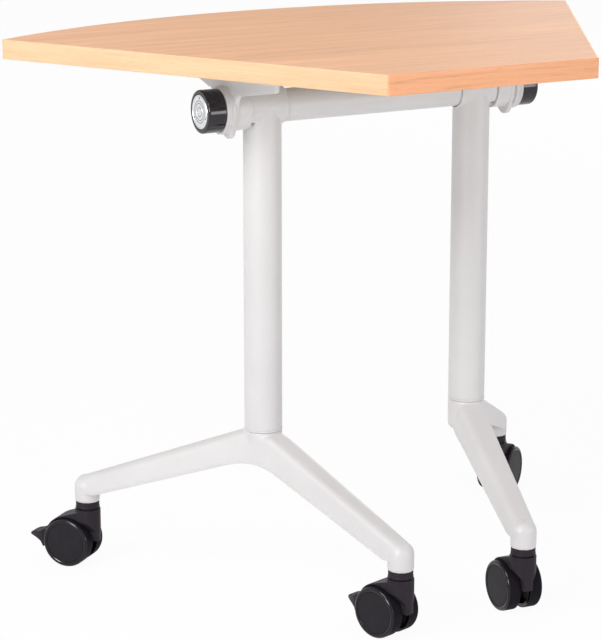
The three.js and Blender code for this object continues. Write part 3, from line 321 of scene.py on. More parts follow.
# Mesh building: a solid is (points, faces) in millimetres
def rounded(points, radius, steps=4):
    """The corners of an open line turned to arcs. radius is one number, or one for each inner corner."""
    out = [points[0]]
    for i in range(1, len(points) - 1):
        r = radius[i - 1] if isinstance(radius, (list, tuple)) else radius
        before, at, after = (Vector(points[k]) for k in (i - 1, i, i + 1))
        back, ahead = before - at, after - at
        reach = min(r, 0.49 * back.length, 0.49 * ahead.length)
        if r <= 0 or reach < 1e-4:
            out.append(tuple(at))
            continue
        start, end = at + back.normalized() * reach, at + ahead.normalized() * reach
        for k in range(steps + 1):
            t = k / steps
            p = start * (1 - t) ** 2 + at * 2 * t * (1 - t) + end * t * t
            out.append(tuple(p))
    out.append(points[-1])
    return out


def rounded_loop(points, radius, steps=4):
    """The same for a closed outline."""
    middle = ((points[0][0] + points[-1][0]) / 2, (points[0][1] + points[-1][1]) / 2)
    radii = radius if isinstance(radius, (list, tuple)) else [radius] * len(points)
    return rounded([middle, *points, middle], list(radii), steps)[:-1]


TURNS = {
    "x": lambda a, b, h: (h, a, b),
    "y": lambda a, b, h: (b, h, a),
    "z": lambda a, b, h: (a, b, h),
}


def revolve(profile, axis="z", count=72, closed=False):
    """A profile of (radius, height) turned about an axis."""
    points, faces, rings = [], [], []
    for r, h in profile:
        start = len(points)
        if r < 1e-6:
            points.append(TURNS[axis](0, 0, h))
            rings.append([start] * count)
            continue
        for i in range(count):
            a = 2 * math.pi * i / count
            points.append(TURNS[axis](r * math.cos(a), r * math.sin(a), h))
        rings.append(list(range(start, start + count)))
    for low, high in zip(rings, rings[1:] + (rings[:1] if closed else [])):
        for i in range(count):
            j = (i + 1) % count
            face = list(dict.fromkeys((low[i], low[j], high[j], high[i])))
            if len(face) > 2:
                faces.append(face)
    return points, faces


def loft(rings, capped=True):
    """A skin through rings of equally many points."""
    count = len(rings[0])
    points = [p for ring in rings for p in ring]
    faces = []
    for r in range(len(rings) - 1):
        for i in range(count):
            j = (i + 1) % count
            faces.append([r * count + i, r * count + j, (r + 1) * count + j, (r + 1) * count + i])
    if capped:
        last = (len(rings) - 1) * count
        faces.append(list(range(count)))
        faces.append([last + i for i in reversed(range(count))])
    return points, faces


def prism(outline, low, high, axis="z"):
    """A flat outline made solid along an axis. For x it is (y, z), for y it is (x, z)."""
    lay = {"x": lambda a, b, h: (h, a, b), "y": lambda a, b, h: (a, h, b), "z": lambda a, b, h: (a, b, h)}[axis]
    return loft([[lay(a, b, h) for a, b in outline] for h in (low, high)])


def moved(solid, x=0.0, y=0.0, z=0.0):
    points, faces = solid
    return [(px + x, py + y, pz + z) for px, py, pz in points], faces


def on_pivot(solid):
    """A solid that was drawn about the X axis, put on the pivot axis."""
    return moved(solid, z=PIVOT_Z)


def rod(radius, low, high):
    """The profile of a plain round bar."""
    return [(0, low), (radius, low), (radius, high), (0, high)]


def add_object(name, solids):
    """One object holding the solids, in metres, with its faces pointing out."""
    points, faces = [], []
    for solid_points, solid_faces in solids:
        start = len(points)
        points += [tuple(c * MM for c in p) for p in solid_points]
        faces += [[start + i for i in face] for face in solid_faces]
    mesh = bpy.data.meshes.new(name)
    mesh.from_pydata(points, [], faces)
    bm = bmesh.new()
    bm.from_mesh(mesh)
    bmesh.ops.recalc_face_normals(bm, faces=bm.faces)
    bm.to_mesh(mesh)
    bm.free()
    made = bpy.data.objects.new(name, mesh)
    bpy.context.scene.collection.objects.link(made)
    return made


def add_solids(made, solids):
    """More solids put into an object that is already there."""
    extra = add_object("extra", solids)
    bm = bmesh.new()
    bm.from_mesh(made.data)
    bm.from_mesh(extra.data)
    bm.to_mesh(made.data)
    bm.free()
    bpy.data.objects.remove(extra)


def baked(made):
    """The object with its modifiers applied."""
    graph = bpy.context.evaluated_depsgraph_get()
    mesh = bpy.data.meshes.new_from_object(made.evaluated_get(graph))
    made.modifiers.clear()
    made.data = mesh
    return made


def softened(made, voxel, passes):
    """The solids of an object melted into one cast form with soft edges."""
    melt = made.modifiers.new("melt", "REMESH")
    melt.mode = "VOXEL"
    melt.voxel_size = voxel * MM
    if passes:
        ease = made.modifiers.new("ease", "SMOOTH")
        ease.factor = 0.5
        ease.iterations = passes
    return baked(made)


def carved(made, kind, solids):
    """The object less the solids, or their common part."""
    tool = add_object("tool", solids)
    cut = made.modifiers.new("cut", "BOOLEAN")
    cut.operation = kind
    cut.solver = "EXACT"
    cut.object = tool
    baked(made)
    bpy.data.objects.remove(tool)
    return made


def shade(made, sharp_degrees=38):
    bm = bmesh.new()
    bm.from_mesh(made.data)
    limit = math.radians(sharp_degrees)
    for face in bm.faces:
        face.smooth = True
    for edge in bm.edges:
        edge.smooth = len(edge.link_faces) != 2 or edge.calc_face_angle(0) < limit
    bm.to_mesh(made.data)
    bm.free()


def dress(made, name, material, body, replaced=(), sharp_degrees=38):
    """The last step for a piece: its name, finish, body and the CAD nodes that it stands for."""
    made.name = name
    made.data.name = name
    if isinstance(material, str):
        material = [material]
    made.data.materials.clear()
    for one in material:
        made.data.materials.append(MATERIALS[one])
    shade(made, sharp_degrees)
    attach(made, body)
    if replaced:
        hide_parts(*replaced)
    return made


def both_sides(made, name, material, body, replaced=(), sharp_degrees=38):
    """A piece modelled for the right side, and its mirror image on the left."""
    twin = made.copy()
    twin.data = made.data.copy()
    twin.data.transform(Matrix.Scale(-1, 4, (1, 0, 0)))
    twin.data.flip_normals()
    bpy.context.scene.collection.objects.link(twin)
    for side, one in (("right", made), ("left", twin)):
        own = body.replace("SIDE", side)
        dress(one, f"{side}_{name}", material, own, [f"{side}_{n}" for n in replaced], sharp_degrees)


# The table top
HALF = SEGMENT_ANGLE / 2
INNER_DISTANCE = INNER_EDGE / 2 / math.tan(HALF)
APEX_Y = -(INNER_DISTANCE + OUTER_RADIUS) / 2
BOARD_LOW = TABLE_HEIGHT - TOP_THICKNESS
# The joint between the board and its bands
GLUE = 0.04
ARC_STEPS = 96


def side_point(inset, along):
    """A point of the right edge, as far in from it and as far along it as asked."""
    return (
        along * math.sin(HALF) - inset * math.cos(HALF),
        APEX_Y + along * math.cos(HALF) + inset * math.sin(HALF),
    )


def band_section():
    """The band across: how far in from the edge, and the height, with its rounded arrises."""
    line = [(EDGE_BAND, BOARD_LOW), (0, BOARD_LOW), (0, TABLE_HEIGHT), (EDGE_BAND, TABLE_HEIGHT)]
    return rounded(line, 1.2, 5)


def top_board():
    """The board inside its bands, in beech above and with a neutral backing below."""
    inset = EDGE_BAND + GLUE
    radius = OUTER_RADIUS - inset
    reach = math.sqrt(radius * radius - inset * inset)
    outer = side_point(inset, reach)
    inner = side_point(inset, (INNER_DISTANCE + inset - inset * math.sin(HALF)) / math.cos(HALF))
    swing = math.atan2(outer[0], outer[1] - APEX_Y)
    outline = [(-inner[0], inner[1]), inner]
    for i in range(ARC_STEPS + 1):
        angle = swing * (1 - 2 * i / ARC_STEPS)
        outline.append((radius * math.sin(angle), APEX_Y + radius * math.cos(angle)))
    board = add_object("board", [prism(outline, BOARD_LOW + 0.02, TABLE_HEIGHT - 0.02)])
    dress(board, "top_board", ["beech", "backing"], "top", ["tabletop_board"])
    for face in board.data.polygons:
        if face.center.z < (BOARD_LOW + 1) * MM:
            face.material_index = 1


def edge_bands():
    """The long curved band, the short straight one with its rounded ends, and the two radial ones."""
    arc = []
    for i in range(ARC_STEPS + 1):
        angle = HALF * (2 * i / ARC_STEPS - 1)
        arc.append([
            ((OUTER_RADIUS - d) * math.sin(angle), APEX_Y + (OUTER_RADIUS - d) * math.cos(angle), z)
            for d, z in band_section()
        ])
    outer = add_object("band", [loft(arc)])
    dress(outer, "outer_band", "band_arc", "top", ["outer_edge_band"])
    rings = []
    turns = [1.5 * (1 - math.cos(math.pi / 2 * k / 5)) for k in range(6)]
    ends = [(turns[k], turns[5 - k]) for k in range(6)]
    for side in (-1, 1):
        for back, sunk in ends if side < 0 else reversed(ends):
            ring = [(max(d, sunk), z) for d, z in band_section()]
            rings.append([
                (side * ((INNER_DISTANCE + d) * math.tan(HALF) - back), APEX_Y + INNER_DISTANCE + d, z)
                for d, z in ring
            ])
    inner = add_object("band", [loft(rings)])
    # The inner band's material holds painted shade: the same veneer as the side bands, painted darker and deeper
    # orange.
    dress(inner, "inner_band", "band_inner", "top", ["inner_edge_band"])
    joint = EDGE_BAND + GLUE
    near = [
        (*side_point(d, (INNER_DISTANCE + joint - d * math.sin(HALF)) / math.cos(HALF)), z)
        for d, z in band_section()
    ]
    radius = OUTER_RADIUS - joint
    far = [(*side_point(d, math.sqrt(radius * radius - d * d)), z) for d, z in band_section()]
    for side, name in ((1, "right"), (-1, "left")):
        rings = [[(side * x, y, z) for x, y, z in ring] for ring in (near, far)]
        band = add_object("band", [loft(rings)])
        dress(band, f"{name}_band", f"band_{name}", "top", [f"{name}_edge_band"])


# Brackets, heads, beam and knobs, drawn for the right side about the pivot axis
def bend(start, corner, end, steps=8):
    """A quadratic curve between two points, ends included."""
    return [
        tuple(start[i] * (1 - t) ** 2 + corner[i] * 2 * t * (1 - t) + end[i] * t * t for i in (0, 1))
        for t in stations(0, 1, steps)
    ]


def arc_points(centre, radius, start, end, steps):
    return [
        (centre[0] + radius * math.cos(a), centre[1] + radius * math.sin(a)) for a in stations(start, end, steps)
    ]


def stations(start, end, steps):
    return [start + (end - start) * k / steps for k in range(steps + 1)]


def ear_outline():
    """The ear and its two arms from the side, as (y, z)."""
    radius, fillet, lobe_radius, lobe = 28, 19, 12.5, (-5, -23.5)
    root_low, end_low = PIVOT_DROP - 31.7, PIVOT_DROP - 16.6
    front, rear, corner = BRACKET_FRONT, BRACKET_REAR, 6
    to_lobe = 2 * math.pi + math.atan2(lobe[1], lobe[0])
    spread = math.acos((radius - lobe_radius) / math.hypot(*lobe))
    line = [(-front, PIVOT_DROP)]
    line += bend((-front, end_low + corner), (-front, end_low), (corner - front, end_low), 5)
    line += bend((-radius - fillet, root_low), (-radius, root_low), (-radius, root_low - fillet))
    line += arc_points((0, 0), radius, math.pi, to_lobe - spread, 6)[1:]
    line += arc_points(lobe, lobe_radius, to_lobe - spread, to_lobe + spread, 12)
    line += arc_points((0, 0), radius, to_lobe + spread, 2 * math.pi, 10)[:-1]
    line += bend((radius, root_low - fillet), (radius, root_low), (radius + fillet, root_low))
    line += bend((rear - corner, end_low), (rear, end_low), (rear, end_low + corner), 5)
    return [*line, (rear, PIVOT_DROP)]


def brackets():
    """The ear with its flange and boss, cast in one, then its rim, rings and screws."""
    middle, half = EAR_X + 3.5, 18
    corners = [
        (middle + half, BRACKET_REAR), (middle - half, BRACKET_REAR),
        (middle - half, -BRACKET_FRONT), (middle + half, -BRACKET_FRONT),
    ]
    flange = prism(rounded_loop(corners, 9, 6), PIVOT_DROP - FLANGE_THICKNESS, PIVOT_DROP - 0.02)
    ear = prism(ear_outline(), EAR_X, RING_X, "x")
    boss = revolve(rod(BOSS_RADIUS - 0.1, BOSS_X + 1, EAR_X + 2), "x")
    cast = add_object("bracket", [on_pivot(s) for s in (ear, flange, boss)])
    softened(cast, 1.15, 3)
    carved(cast, "DIFFERENCE", [on_pivot(revolve(rod(BORE_RADIUS, BOSS_X - 9, RING_X + 9), "x"))])
    both_sides(cast, "bracket_casting", "coat", "top", ["top_bracket"])
    boss_rim()
    stepped_ring()
    inner, outer = middle - 11, middle + 11
    for index, (x, y) in enumerate([(outer, 99), (inner, -119.5), (inner, 51), (outer, -71.5)], 1):
        bracket_screw(x, y, index)


def boss_rim():
    """The sharp rim of the boss, round the friction washer."""
    start, end = BOSS_X - 1.2, BOSS_X + 4
    line = [(21.7, BOSS_X + 2), (21.7, start), (BOSS_RADIUS, start), (BOSS_RADIUS, end), (BOSS_RADIUS - 2, end)]
    rim = add_object("rim", [on_pivot(revolve(rounded(line, 0.5, 4), "x", 96, closed=True))])
    both_sides(rim, "boss_rim", "coat", "top")


def stepped_ring():
    """Three rings between the ear and the knob, with a groove before each step."""
    profile = [(8.4, RING_X - 1)]
    for i in range(3):
        radius, groove = RING_RADIUS - 0.5 * i, RING_RADIUS - 0.5 * i - 2.6
        start, end = RING_X + RING_STEP * i, RING_X + RING_STEP * (i + 1)
        profile += [(radius, start - 1 if i == 0 else start), (radius, end - 0.4), (radius - 0.35, end)]
        if i < 2:
            profile += [(groove, end), (groove, end + 0.7), (radius - 0.5, end + 0.7)]
    profile.append((8.4, RING_END_X))
    ring = add_object("ring", [on_pivot(revolve(profile, "x", 120, closed=True))])
    both_sides(ring, "stepped_ring", "coat", "top")


def bracket_screw(x, y, index):
    """A pan head with a hexagon socket, seen from below."""
    radius, height, socket, socket_depth = 5, 3.4, 1.7, 1.8
    under = PIVOT_Z + PIVOT_DROP - FLANGE_THICKNESS - 0.1
    low = under - height
    profile = rounded(rod(radius, low, under), [2.2, 0.2], 5)
    head = add_object("screw", [moved(revolve(profile, "z", 40), x, y)])
    corners = [math.pi * k / 3 for k in range(6)]
    hexagon = prism([(socket * math.cos(a), socket * math.sin(a)) for a in corners], low - 2, low + socket_depth)
    carved(head, "DIFFERENCE", [moved(hexagon, x, y)])
    both_sides(head, f"screw_head_{index}", "zinc", "top", [f"bracket_screw_{index}"])


def heads():
    """The barrel round the pivot, a little higher at its crown, and the neck that goes into the column."""
    sleeve = BEAM_RADIUS + 1.9
    line = [
        (0, SLEEVE_X), (sleeve - 0.95, SLEEVE_X), (sleeve, SLEEVE_X + 1.9), (sleeve, SLEEVE_X + 5.7),
        (COLUMN_RADIUS, SLEEVE_X + 16.8), (COLUMN_RADIUS, HEAD_X), (0, HEAD_X),
    ]
    points, faces = revolve(rounded(line, [0.5, 1, 2, 6, 0.8], 4), "x")
    crown = 3.6
    barrel = [(x, y, z + crown * (max(0, z) / COLUMN_RADIUS) ** 3) for x, y, z in points], faces
    neck = revolve(rod(COLUMN_RADIUS, 4, -46), "z")
    cast = add_object("head", [on_pivot(barrel), moved(neck, COLUMN_X, 0, PIVOT_Z)])
    softened(cast, 0.8, 1)
    mouth = BEAM_RADIUS + 1.3
    carved(cast, "DIFFERENCE", [on_pivot(revolve(rod(mouth, SLEEVE_X - 5, SLEEVE_X + 15), "x"))])
    below = prism([(120, -30), (190, -30), (190, 30), (120, 30)], COLUMN_TOP - 20, COLUMN_TOP + 0.02)
    carved(cast, "DIFFERENCE", [below])
    notch = []
    for degrees, radius in ((222, 29), (236, 29), (236, 17), (222, 17)):
        a = math.radians(degrees)
        notch.append((radius * math.cos(a), PIVOT_Z + radius * math.sin(a)))
    carved(cast, "DIFFERENCE", [prism(notch, 174.5, 183, "x")])
    both_sides(cast, "head_cast", "coat", "frame", ["head_casting"])


def beam():
    end, inside = SLEEVE_X + 14.5, BEAM_RADIUS - 2.5
    line = [(BEAM_RADIUS, -end), (BEAM_RADIUS, end), (inside, end), (inside, -end)]
    pipe = add_object("beam", [on_pivot(revolve(line, "x", 96, closed=True))])
    dress(pipe, "beam_tube", "coat", "frame", ["cross_beam"])


def knobs():
    """The gloss knob, sunk in front for its disc, and the disc with its marks."""
    socket_end, recess = KNOB_X + 16, KNOB_END_X - RECESS_DEPTH
    line = [
        (6.4, socket_end), (6.4, KNOB_X), (KNOB_RADIUS, KNOB_X), (KNOB_RADIUS, KNOB_END_X),
        (RECESS_RADIUS, KNOB_END_X), (RECESS_RADIUS - 0.4, recess), (0, recess),
    ]
    profile = [(0, socket_end), *rounded(line, [0, 0.9, 4.6, 0.5, 0], 8)]
    knob = add_object("knob", [on_pivot(revolve(profile, "x", 120))])
    both_sides(knob, "knob_body", "gloss", "SIDE_knob", ["clamp_knob"])
    disc = add_object("disc", [on_pivot(revolve(disc_profile(), "x", 120))])
    both_sides(disc, "disc_face", "disc", "SIDE_knob", ["knob_disc"])
    disc_marks()


def disc_profile():
    """A turned disc with a low rim and two grooves round its middle."""
    back = DISC_FRONT_X - 1.45
    line = [(0, back), (DISC_RADIUS, back), (DISC_RADIUS, DISC_FRONT_X - 0.3), (DISC_RADIUS - 0.3, DISC_FRONT_X)]
    for groove in (19.6, 8.2):
        line += [(groove + 0.3, DISC_FRONT_X), (groove, DISC_FRONT_X - 0.3), (groove - 0.3, DISC_FRONT_X)]
    return [*line, (0, DISC_FRONT_X)]


def disc_marks():
    """Three black dots and three thin black rings let into the disc."""
    low, high = DISC_FRONT_X - 0.4, DISC_FRONT_X + 0.03
    marks = []
    for degrees in (90, 200, 330):
        a = math.radians(degrees)
        dot = on_pivot(revolve(rod(1.1, low, high), "x", 24))
        marks.append(moved(dot, 0, DISC_DOT_CIRCLE * math.cos(a), DISC_DOT_CIRCLE * math.sin(a)))
    for radius in (5.2, 10.4, 13.6):
        line = [(radius, low), (radius + 0.7, low), (radius + 0.7, high), (radius, high)]
        marks.append(on_pivot(revolve(line, "x", 72, closed=True)))
    pins = add_object("marks", marks)
    both_sides(pins, "disc_pins", "black", "SIDE_knob")


# Columns and feet
def columns():
    """The tubes and the narrow seam rings between them and the feet."""
    wall = 2.5
    line = [
        (COLUMN_RADIUS - wall, COLUMN_BOTTOM), (COLUMN_RADIUS - 0.4, COLUMN_BOTTOM),
        (COLUMN_RADIUS, COLUMN_BOTTOM + 0.5), (COLUMN_RADIUS, COLUMN_TOP), (COLUMN_RADIUS - wall, COLUMN_TOP),
    ]
    pipe = add_object("column", [moved(revolve(line, "z", 120, closed=True), COLUMN_X)])
    both_sides(pipe, "column_tube", "coat", "frame", ["column"])
    bore, proud = 22.2, COLUMN_RADIUS + 0.3
    line = [
        (bore, FOOT_TOP + 0.05), (proud - 0.5, FOOT_TOP + 0.05), (proud, FOOT_TOP + 0.6),
        (proud, COLUMN_BOTTOM - 0.6), (proud - 0.5, COLUMN_BOTTOM - 0.05), (bore, COLUMN_BOTTOM - 0.05),
    ]
    ring = add_object("seam", [moved(revolve(line, "z", 120, closed=True), COLUMN_X)])
    both_sides(ring, "seam_ring", "coat", "frame", ["column_ring"])


ARMS = [
    (math.sin(turn), math.cos(turn)) for turn in (REAR_ARM_SPLAY, FRONT_ARM_TOE_IN + math.pi)
]


def foot_spine(distance):
    """The foot's centre line: where it is and which way it runs, at a signed distance from the column."""
    rear, front = ARMS
    if abs(distance) >= ARM_BEND:
        way = rear if distance < 0 else front
        ahead = (-rear[0], -rear[1]) if distance < 0 else front
        return (way[0] * abs(distance), way[1] * abs(distance)), ahead
    u = (distance / ARM_BEND + 1) / 2
    at = tuple(ARM_BEND * ((1 - u) ** 2 * rear[k] + u * u * front[k]) for k in (0, 1))
    slope = [u * front[k] - (1 - u) * rear[k] for k in (0, 1)]
    length = math.hypot(*slope)
    return at, (slope[0] / length, slope[1] / length)


def arm_underside(reach):
    """The height of the arm's underside: an arch below the hub, then a straight fall to the socket."""
    slope_end = ARM_LENGTH - SOCKET_RADIUS
    slope = (HUB_UNDERSIDE - ARM_END_UNDERSIDE) / (slope_end - ARM_ARCH / 2)
    if reach < ARM_ARCH:
        return HUB_UNDERSIDE - slope * reach * reach / (2 * ARM_ARCH)
    return max(ARM_END_UNDERSIDE, ARM_END_UNDERSIDE + slope * (slope_end - reach))


def arm_sizes(reach):
    """The arm's half widths, heights and edge fillet at a distance from the column."""
    share = min(1, max(0, (reach - COLUMN_RADIUS) / (ARM_LENGTH - COLUMN_RADIUS)))

    def mix(a, b):
        return a + (b - a) * share
    return {
        "bottom": mix(23, SOCKET_RADIUS), "top": mix(18, SOCKET_RADIUS - 1.6), "low": arm_underside(reach),
        "high": mix(ARM_ROOT_TOP, SOCKET_TOP), "fillet": mix(9, 11),
    }


def arm_ring(distance, wall=0.0, lip=False):
    """One section across the foot. The lip is the narrow strip along its lower edge."""
    at, ahead = foot_spine(distance)
    size = arm_sizes(abs(distance))
    bottom, top, low, high = size["bottom"] - wall, size["top"] - wall, size["low"], size["high"] - wall
    if lip:
        crest = low + LIP_HEIGHT
        half = [
            (bottom - 0.4, low), (bottom, low + 0.4), (bottom, crest - 0.5), (bottom - 0.5, crest),
            (bottom - LIP_WIDTH, crest),
        ]
    else:
        start = low - 5 if wall else low + 1.2
        inset = 0 if wall else 0.3
        half = [(bottom - inset, start), (bottom - inset, low + 3)]
        fillet = size["fillet"] - (3 if wall else 0)
        for k in range(7):
            a = math.pi / 2 * k / 6
            half.append((top - fillet * (1 - math.cos(a)), high - fillet * (1 - math.sin(a))))
    across = (ahead[1], -ahead[0])
    right = [(at[0] + across[0] * w, at[1] + across[1] * w, z) for w, z in half]
    left = [(at[0] - across[0] * w, at[1] - across[1] * w, z) for w, z in reversed(half)]
    return right + left


def socket_solid():
    """The round end of an arm, with a crown over the caster's stem."""
    line = [(0, SOCKET_BOTTOM), (SOCKET_RADIUS, SOCKET_BOTTOM)]
    for k in range(13):
        a = math.pi / 2 * k / 12
        line.append((SOCKET_RADIUS * math.cos(a), SOCKET_TOP - SOCKET_CROWN * (1 - math.sin(a))))
    return revolve(rounded(line[:3], 0.8, 3) + line[3:], "z", 64)


def feet():
    """Two arms, a hub and two sockets cast in one and hollow below, with the strip along the lower edge."""
    arms = loft([arm_ring(d) for d in stations(-ARM_LENGTH, ARM_LENGTH, 96)])
    hub = revolve(rounded(rod(COLUMN_RADIUS, HUB_UNDERSIDE, FOOT_TOP), [9, 0.6], 6), "z", 96)
    parts = [arms, hub]
    for x, y in ARMS:
        parts.append(moved(socket_solid(), x * ARM_LENGTH, y * ARM_LENGTH))
    cast = add_object("foot", [moved(s, COLUMN_X) for s in parts])
    softened(cast, 1.5, 5)
    near, far = COLUMN_RADIUS + FOOT_WALL, ARM_LENGTH - SOCKET_RADIUS - FOOT_WALL
    for start, end in ((-far, -near), (near, far)):
        hollow = loft([arm_ring(d, FOOT_WALL) for d in stations(start, end, 24)])
        carved(cast, "DIFFERENCE", [moved(hollow, COLUMN_X)])
    bolt_pocket = revolve(rod(12, HUB_UNDERSIDE - 15, HUB_UNDERSIDE + 12), "z", 48)
    carved(cast, "DIFFERENCE", [moved(bolt_pocket, COLUMN_X)])
    both_sides(cast, "foot_cast", "coat", "frame", ["foot_casting"])
    strip = [arm_ring(d, lip=True) for d in stations(-ARM_LENGTH, ARM_LENGTH, 96)]
    half = len(strip[0]) // 2
    sides = [loft([ring[:half] for ring in strip]), loft([ring[half:] for ring in strip])]
    lip = add_object("lip", [moved(s, COLUMN_X) for s in sides])
    both_sides(lip, "foot_lip", "coat", "frame")


# Casters, in their local frame: origin on the floor under the stem, +X trailing, Y along the axle
FENDER_INNER = WHEEL_RADIUS + 0.8
FENDER_OUTER = FENDER_INNER + 2.2
HOOD_RADIUS = 17.2
HOOD_BOTTOM = 35
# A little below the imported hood, for the groove under the collar
HOOD_TOP = 79.2
COLLAR_BOTTOM = 81.7
COLLAR_TOP = 89.7
FACE_RADIUS = 27.4


def about_axle(radius, degrees):
    a = math.radians(degrees)
    return (TRAIL + radius * math.cos(a), WHEEL_RADIUS + radius * math.sin(a))


def arc_about_axle(radius, start, end, steps):
    return [about_axle(radius, start + (end - start) * k / steps) for k in range(steps + 1)]


def hood():
    """The stem's housing, the web between the wheels and the fender over them, moulded in one."""
    side = [
        (-HOOD_RADIUS, HOOD_BOTTOM), (0, HOOD_BOTTOM),
        *arc_about_axle(12, 215, 300, 8), *arc_about_axle(FENDER_INNER - 0.5, -40, 20, 12),
        about_axle(FENDER_INNER, 24), about_axle(FENDER_OUTER, 26), *arc_about_axle(FENDER_OUTER, 28, 74, 14),
        (0, HOOD_TOP - 1), (-HOOD_RADIUS, HOOD_TOP - 1),
    ]
    end = TRAIL + FENDER_OUTER
    round_end = HOOD_RADIUS - 0.3
    plan = [(round_end * math.cos(a), HOOD_RADIUS * math.sin(a)) for a in stations(math.pi / 2, 1.5 * math.pi, 20)]
    plan += [(TRAIL, -HOOD_RADIUS), (end - 5, -15.5), (end, -13), (end, 13), (end - 5, 15.5), (TRAIL, HOOD_RADIUS)]
    made = add_object("hood", [prism(side, -HOOD_RADIUS - 3, HOOD_RADIUS + 3, "y")])
    carved(made, "INTERSECT", [prism(plan, 0, HOOD_TOP + 4)])
    low = HOOD_BOTTOM - 0.1
    stem = [(0, low), (HOOD_RADIUS, low), (HOOD_RADIUS, HOOD_TOP - 0.3), (HOOD_RADIUS - 0.3, HOOD_TOP), (0, HOOD_TOP)]
    add_solids(made, [revolve(stem, "z", 96)])
    softened(made, 0.5, 0)
    reach = HOOD_RADIUS + 5
    for sign in (-1, 1):
        wheel_room = revolve(rod(FENDER_INNER, sign * WEB_HALF, sign * reach), "y", 96)
        carved(made, "DIFFERENCE", [moved(wheel_room, TRAIL, 0, WHEEL_RADIUS)])
        near = WEB_HALF - 0.03
        slope = [(near, -3), (reach, -3), (reach, 62), (HOOD_RADIUS, 62), (near, 48)]
        carved(made, "DIFFERENCE", [prism([(sign * y, z) for y, z in slope], -reach, TRAIL / 2, "x")])
    room = FENDER_INNER + 0.3
    slot = [(TRAIL, WHEEL_RADIUS), *arc_about_axle(room, 21, -40, 8), about_axle(room, -75)]
    carved(made, "DIFFERENCE", [prism(slot, -2.8, 2.8, "y")])
    softened(made, 0.5, 2)
    return made


def wheel():
    """A wheel beyond +Y of the web: a wide rounded rim round a flat face, and a dished inner side."""
    start, outside = WEB_HALF + 0.5, WEB_HALF + 0.5 + WHEEL_WIDTH
    r, rim = WHEEL_RADIUS, WHEEL_RADIUS - 5.2
    crest, fall = FACE_RADIUS + 2, 3.4
    shoulder = [
        (crest + (r - crest) * math.cos(a), outside - fall * (1 - math.sin(a))) for a in stations(0, math.pi / 2, 10)
    ]
    line = [
        (4.3, start + 12), (4.3, start), (8, start), (8, start + 9), (rim, start + 9), (rim, start), (r, start),
        *shoulder, (FACE_RADIUS, outside - 0.9), (FACE_RADIUS, outside - 1.5),
        (FACE_RADIUS - 0.7, outside - 1.5), (FACE_RADIUS - 0.9, outside - 0.8), (0, outside - 0.7),
    ]
    radii = [0.3, 0.4, 0.8, 0.8, 0.4, 0.9, *[0] * len(shoulder), 0.3, 0.1, 0.1, 0.3]
    body = revolve([(0, start + 12), *rounded(line, radii, 7)], "y", 96)
    return add_object("wheel", [moved(body, TRAIL, 0, WHEEL_RADIUS)])


def wheel_finishes(wheel_object):
    """Which finish each face of a wheel has: 0 the glossy rim, 1 the flat face, 2 the tread."""
    hub = Vector((TRAIL * MM, 0, WHEEL_RADIUS * MM))
    finishes = []
    for face in wheel_object.data.polygons:
        away = face.center - hub
        radius = math.hypot(away.x, away.z) / MM
        flat_face, tread = radius < FACE_RADIUS, radius > WHEEL_RADIUS - 0.15
        finishes.append(1 if flat_face else 2 if tread else 0)
    return finishes


def pedal():
    """A shoe round the wheels with a heel below and a beak that is drawn in to a narrow tip."""
    inner = FENDER_INNER + 0.3
    outer, heel = inner + 6, inner + 8
    crest, tip = (TRAIL + 51, WHEEL_RADIUS + 7), (TRAIL + 63, WHEEL_RADIUS + 1.5)
    brow, throat = about_axle(outer, 21), about_axle(heel, -9)
    under = (tip[0], tip[1] - 2.6)
    side = [*arc_about_axle(inner, 21, -17, 14), about_axle(heel - 1.3, -17)]
    side += bend(throat, (TRAIL + 46, WHEEL_RADIUS - 1.6), under)
    side += bend(tip, ((crest[0] + tip[0]) / 2, crest[1]), crest)
    side += bend(crest, ((brow[0] + crest[0]) / 2, crest[1]), brow)[1:-1]
    root = TRAIL + 41
    plan = [(0, -15), *bend((root, -15), ((root + tip[0]) / 2, -11.4), (tip[0] + 0.4, -2.5))]
    plan += [(x, -y) for x, y in reversed(plan)]
    made = add_object("pedal", [prism(side, -17, 17, "y")])
    carved(made, "INTERSECT", [prism(plan, 0, HOOD_TOP)])
    web = prism([(TRAIL, WHEEL_RADIUS), about_axle(inner + 3, -24), about_axle(inner + 3, 19)], -2.5, 2.5, "y")
    eye = moved(revolve(rod(8.5, -2.5, 2.5), "y", 48), TRAIL, 0, WHEEL_RADIUS)
    add_solids(made, [web, eye])
    softened(made, 0.5, 2)
    return made


def stem_collar():
    """The collar on its narrower core, which reaches down to the hood."""
    core_low = HOOD_TOP + 0.05
    line = [
        (0, core_low), (14, core_low), (14, COLLAR_BOTTOM), (16.2, COLLAR_BOTTOM), (16.2, COLLAR_BOTTOM + 0.9),
        (15.8, COLLAR_BOTTOM + 1.7), (15.8, COLLAR_TOP), (0, COLLAR_TOP),
    ]
    return add_object("collar", [revolve(rounded(line, [0.1, 0.1, 0.3, 0.3, 0.5, 0.4], 3), "z", 96)])


def axle_cap():
    """The axle, through the web and both wheels."""
    pin = revolve(rounded(rod(4, -18.7, 18.7), 0.5, 3), "y", 40)
    return add_object("axle", [moved(pin, TRAIL, 0, WHEEL_RADIUS)])


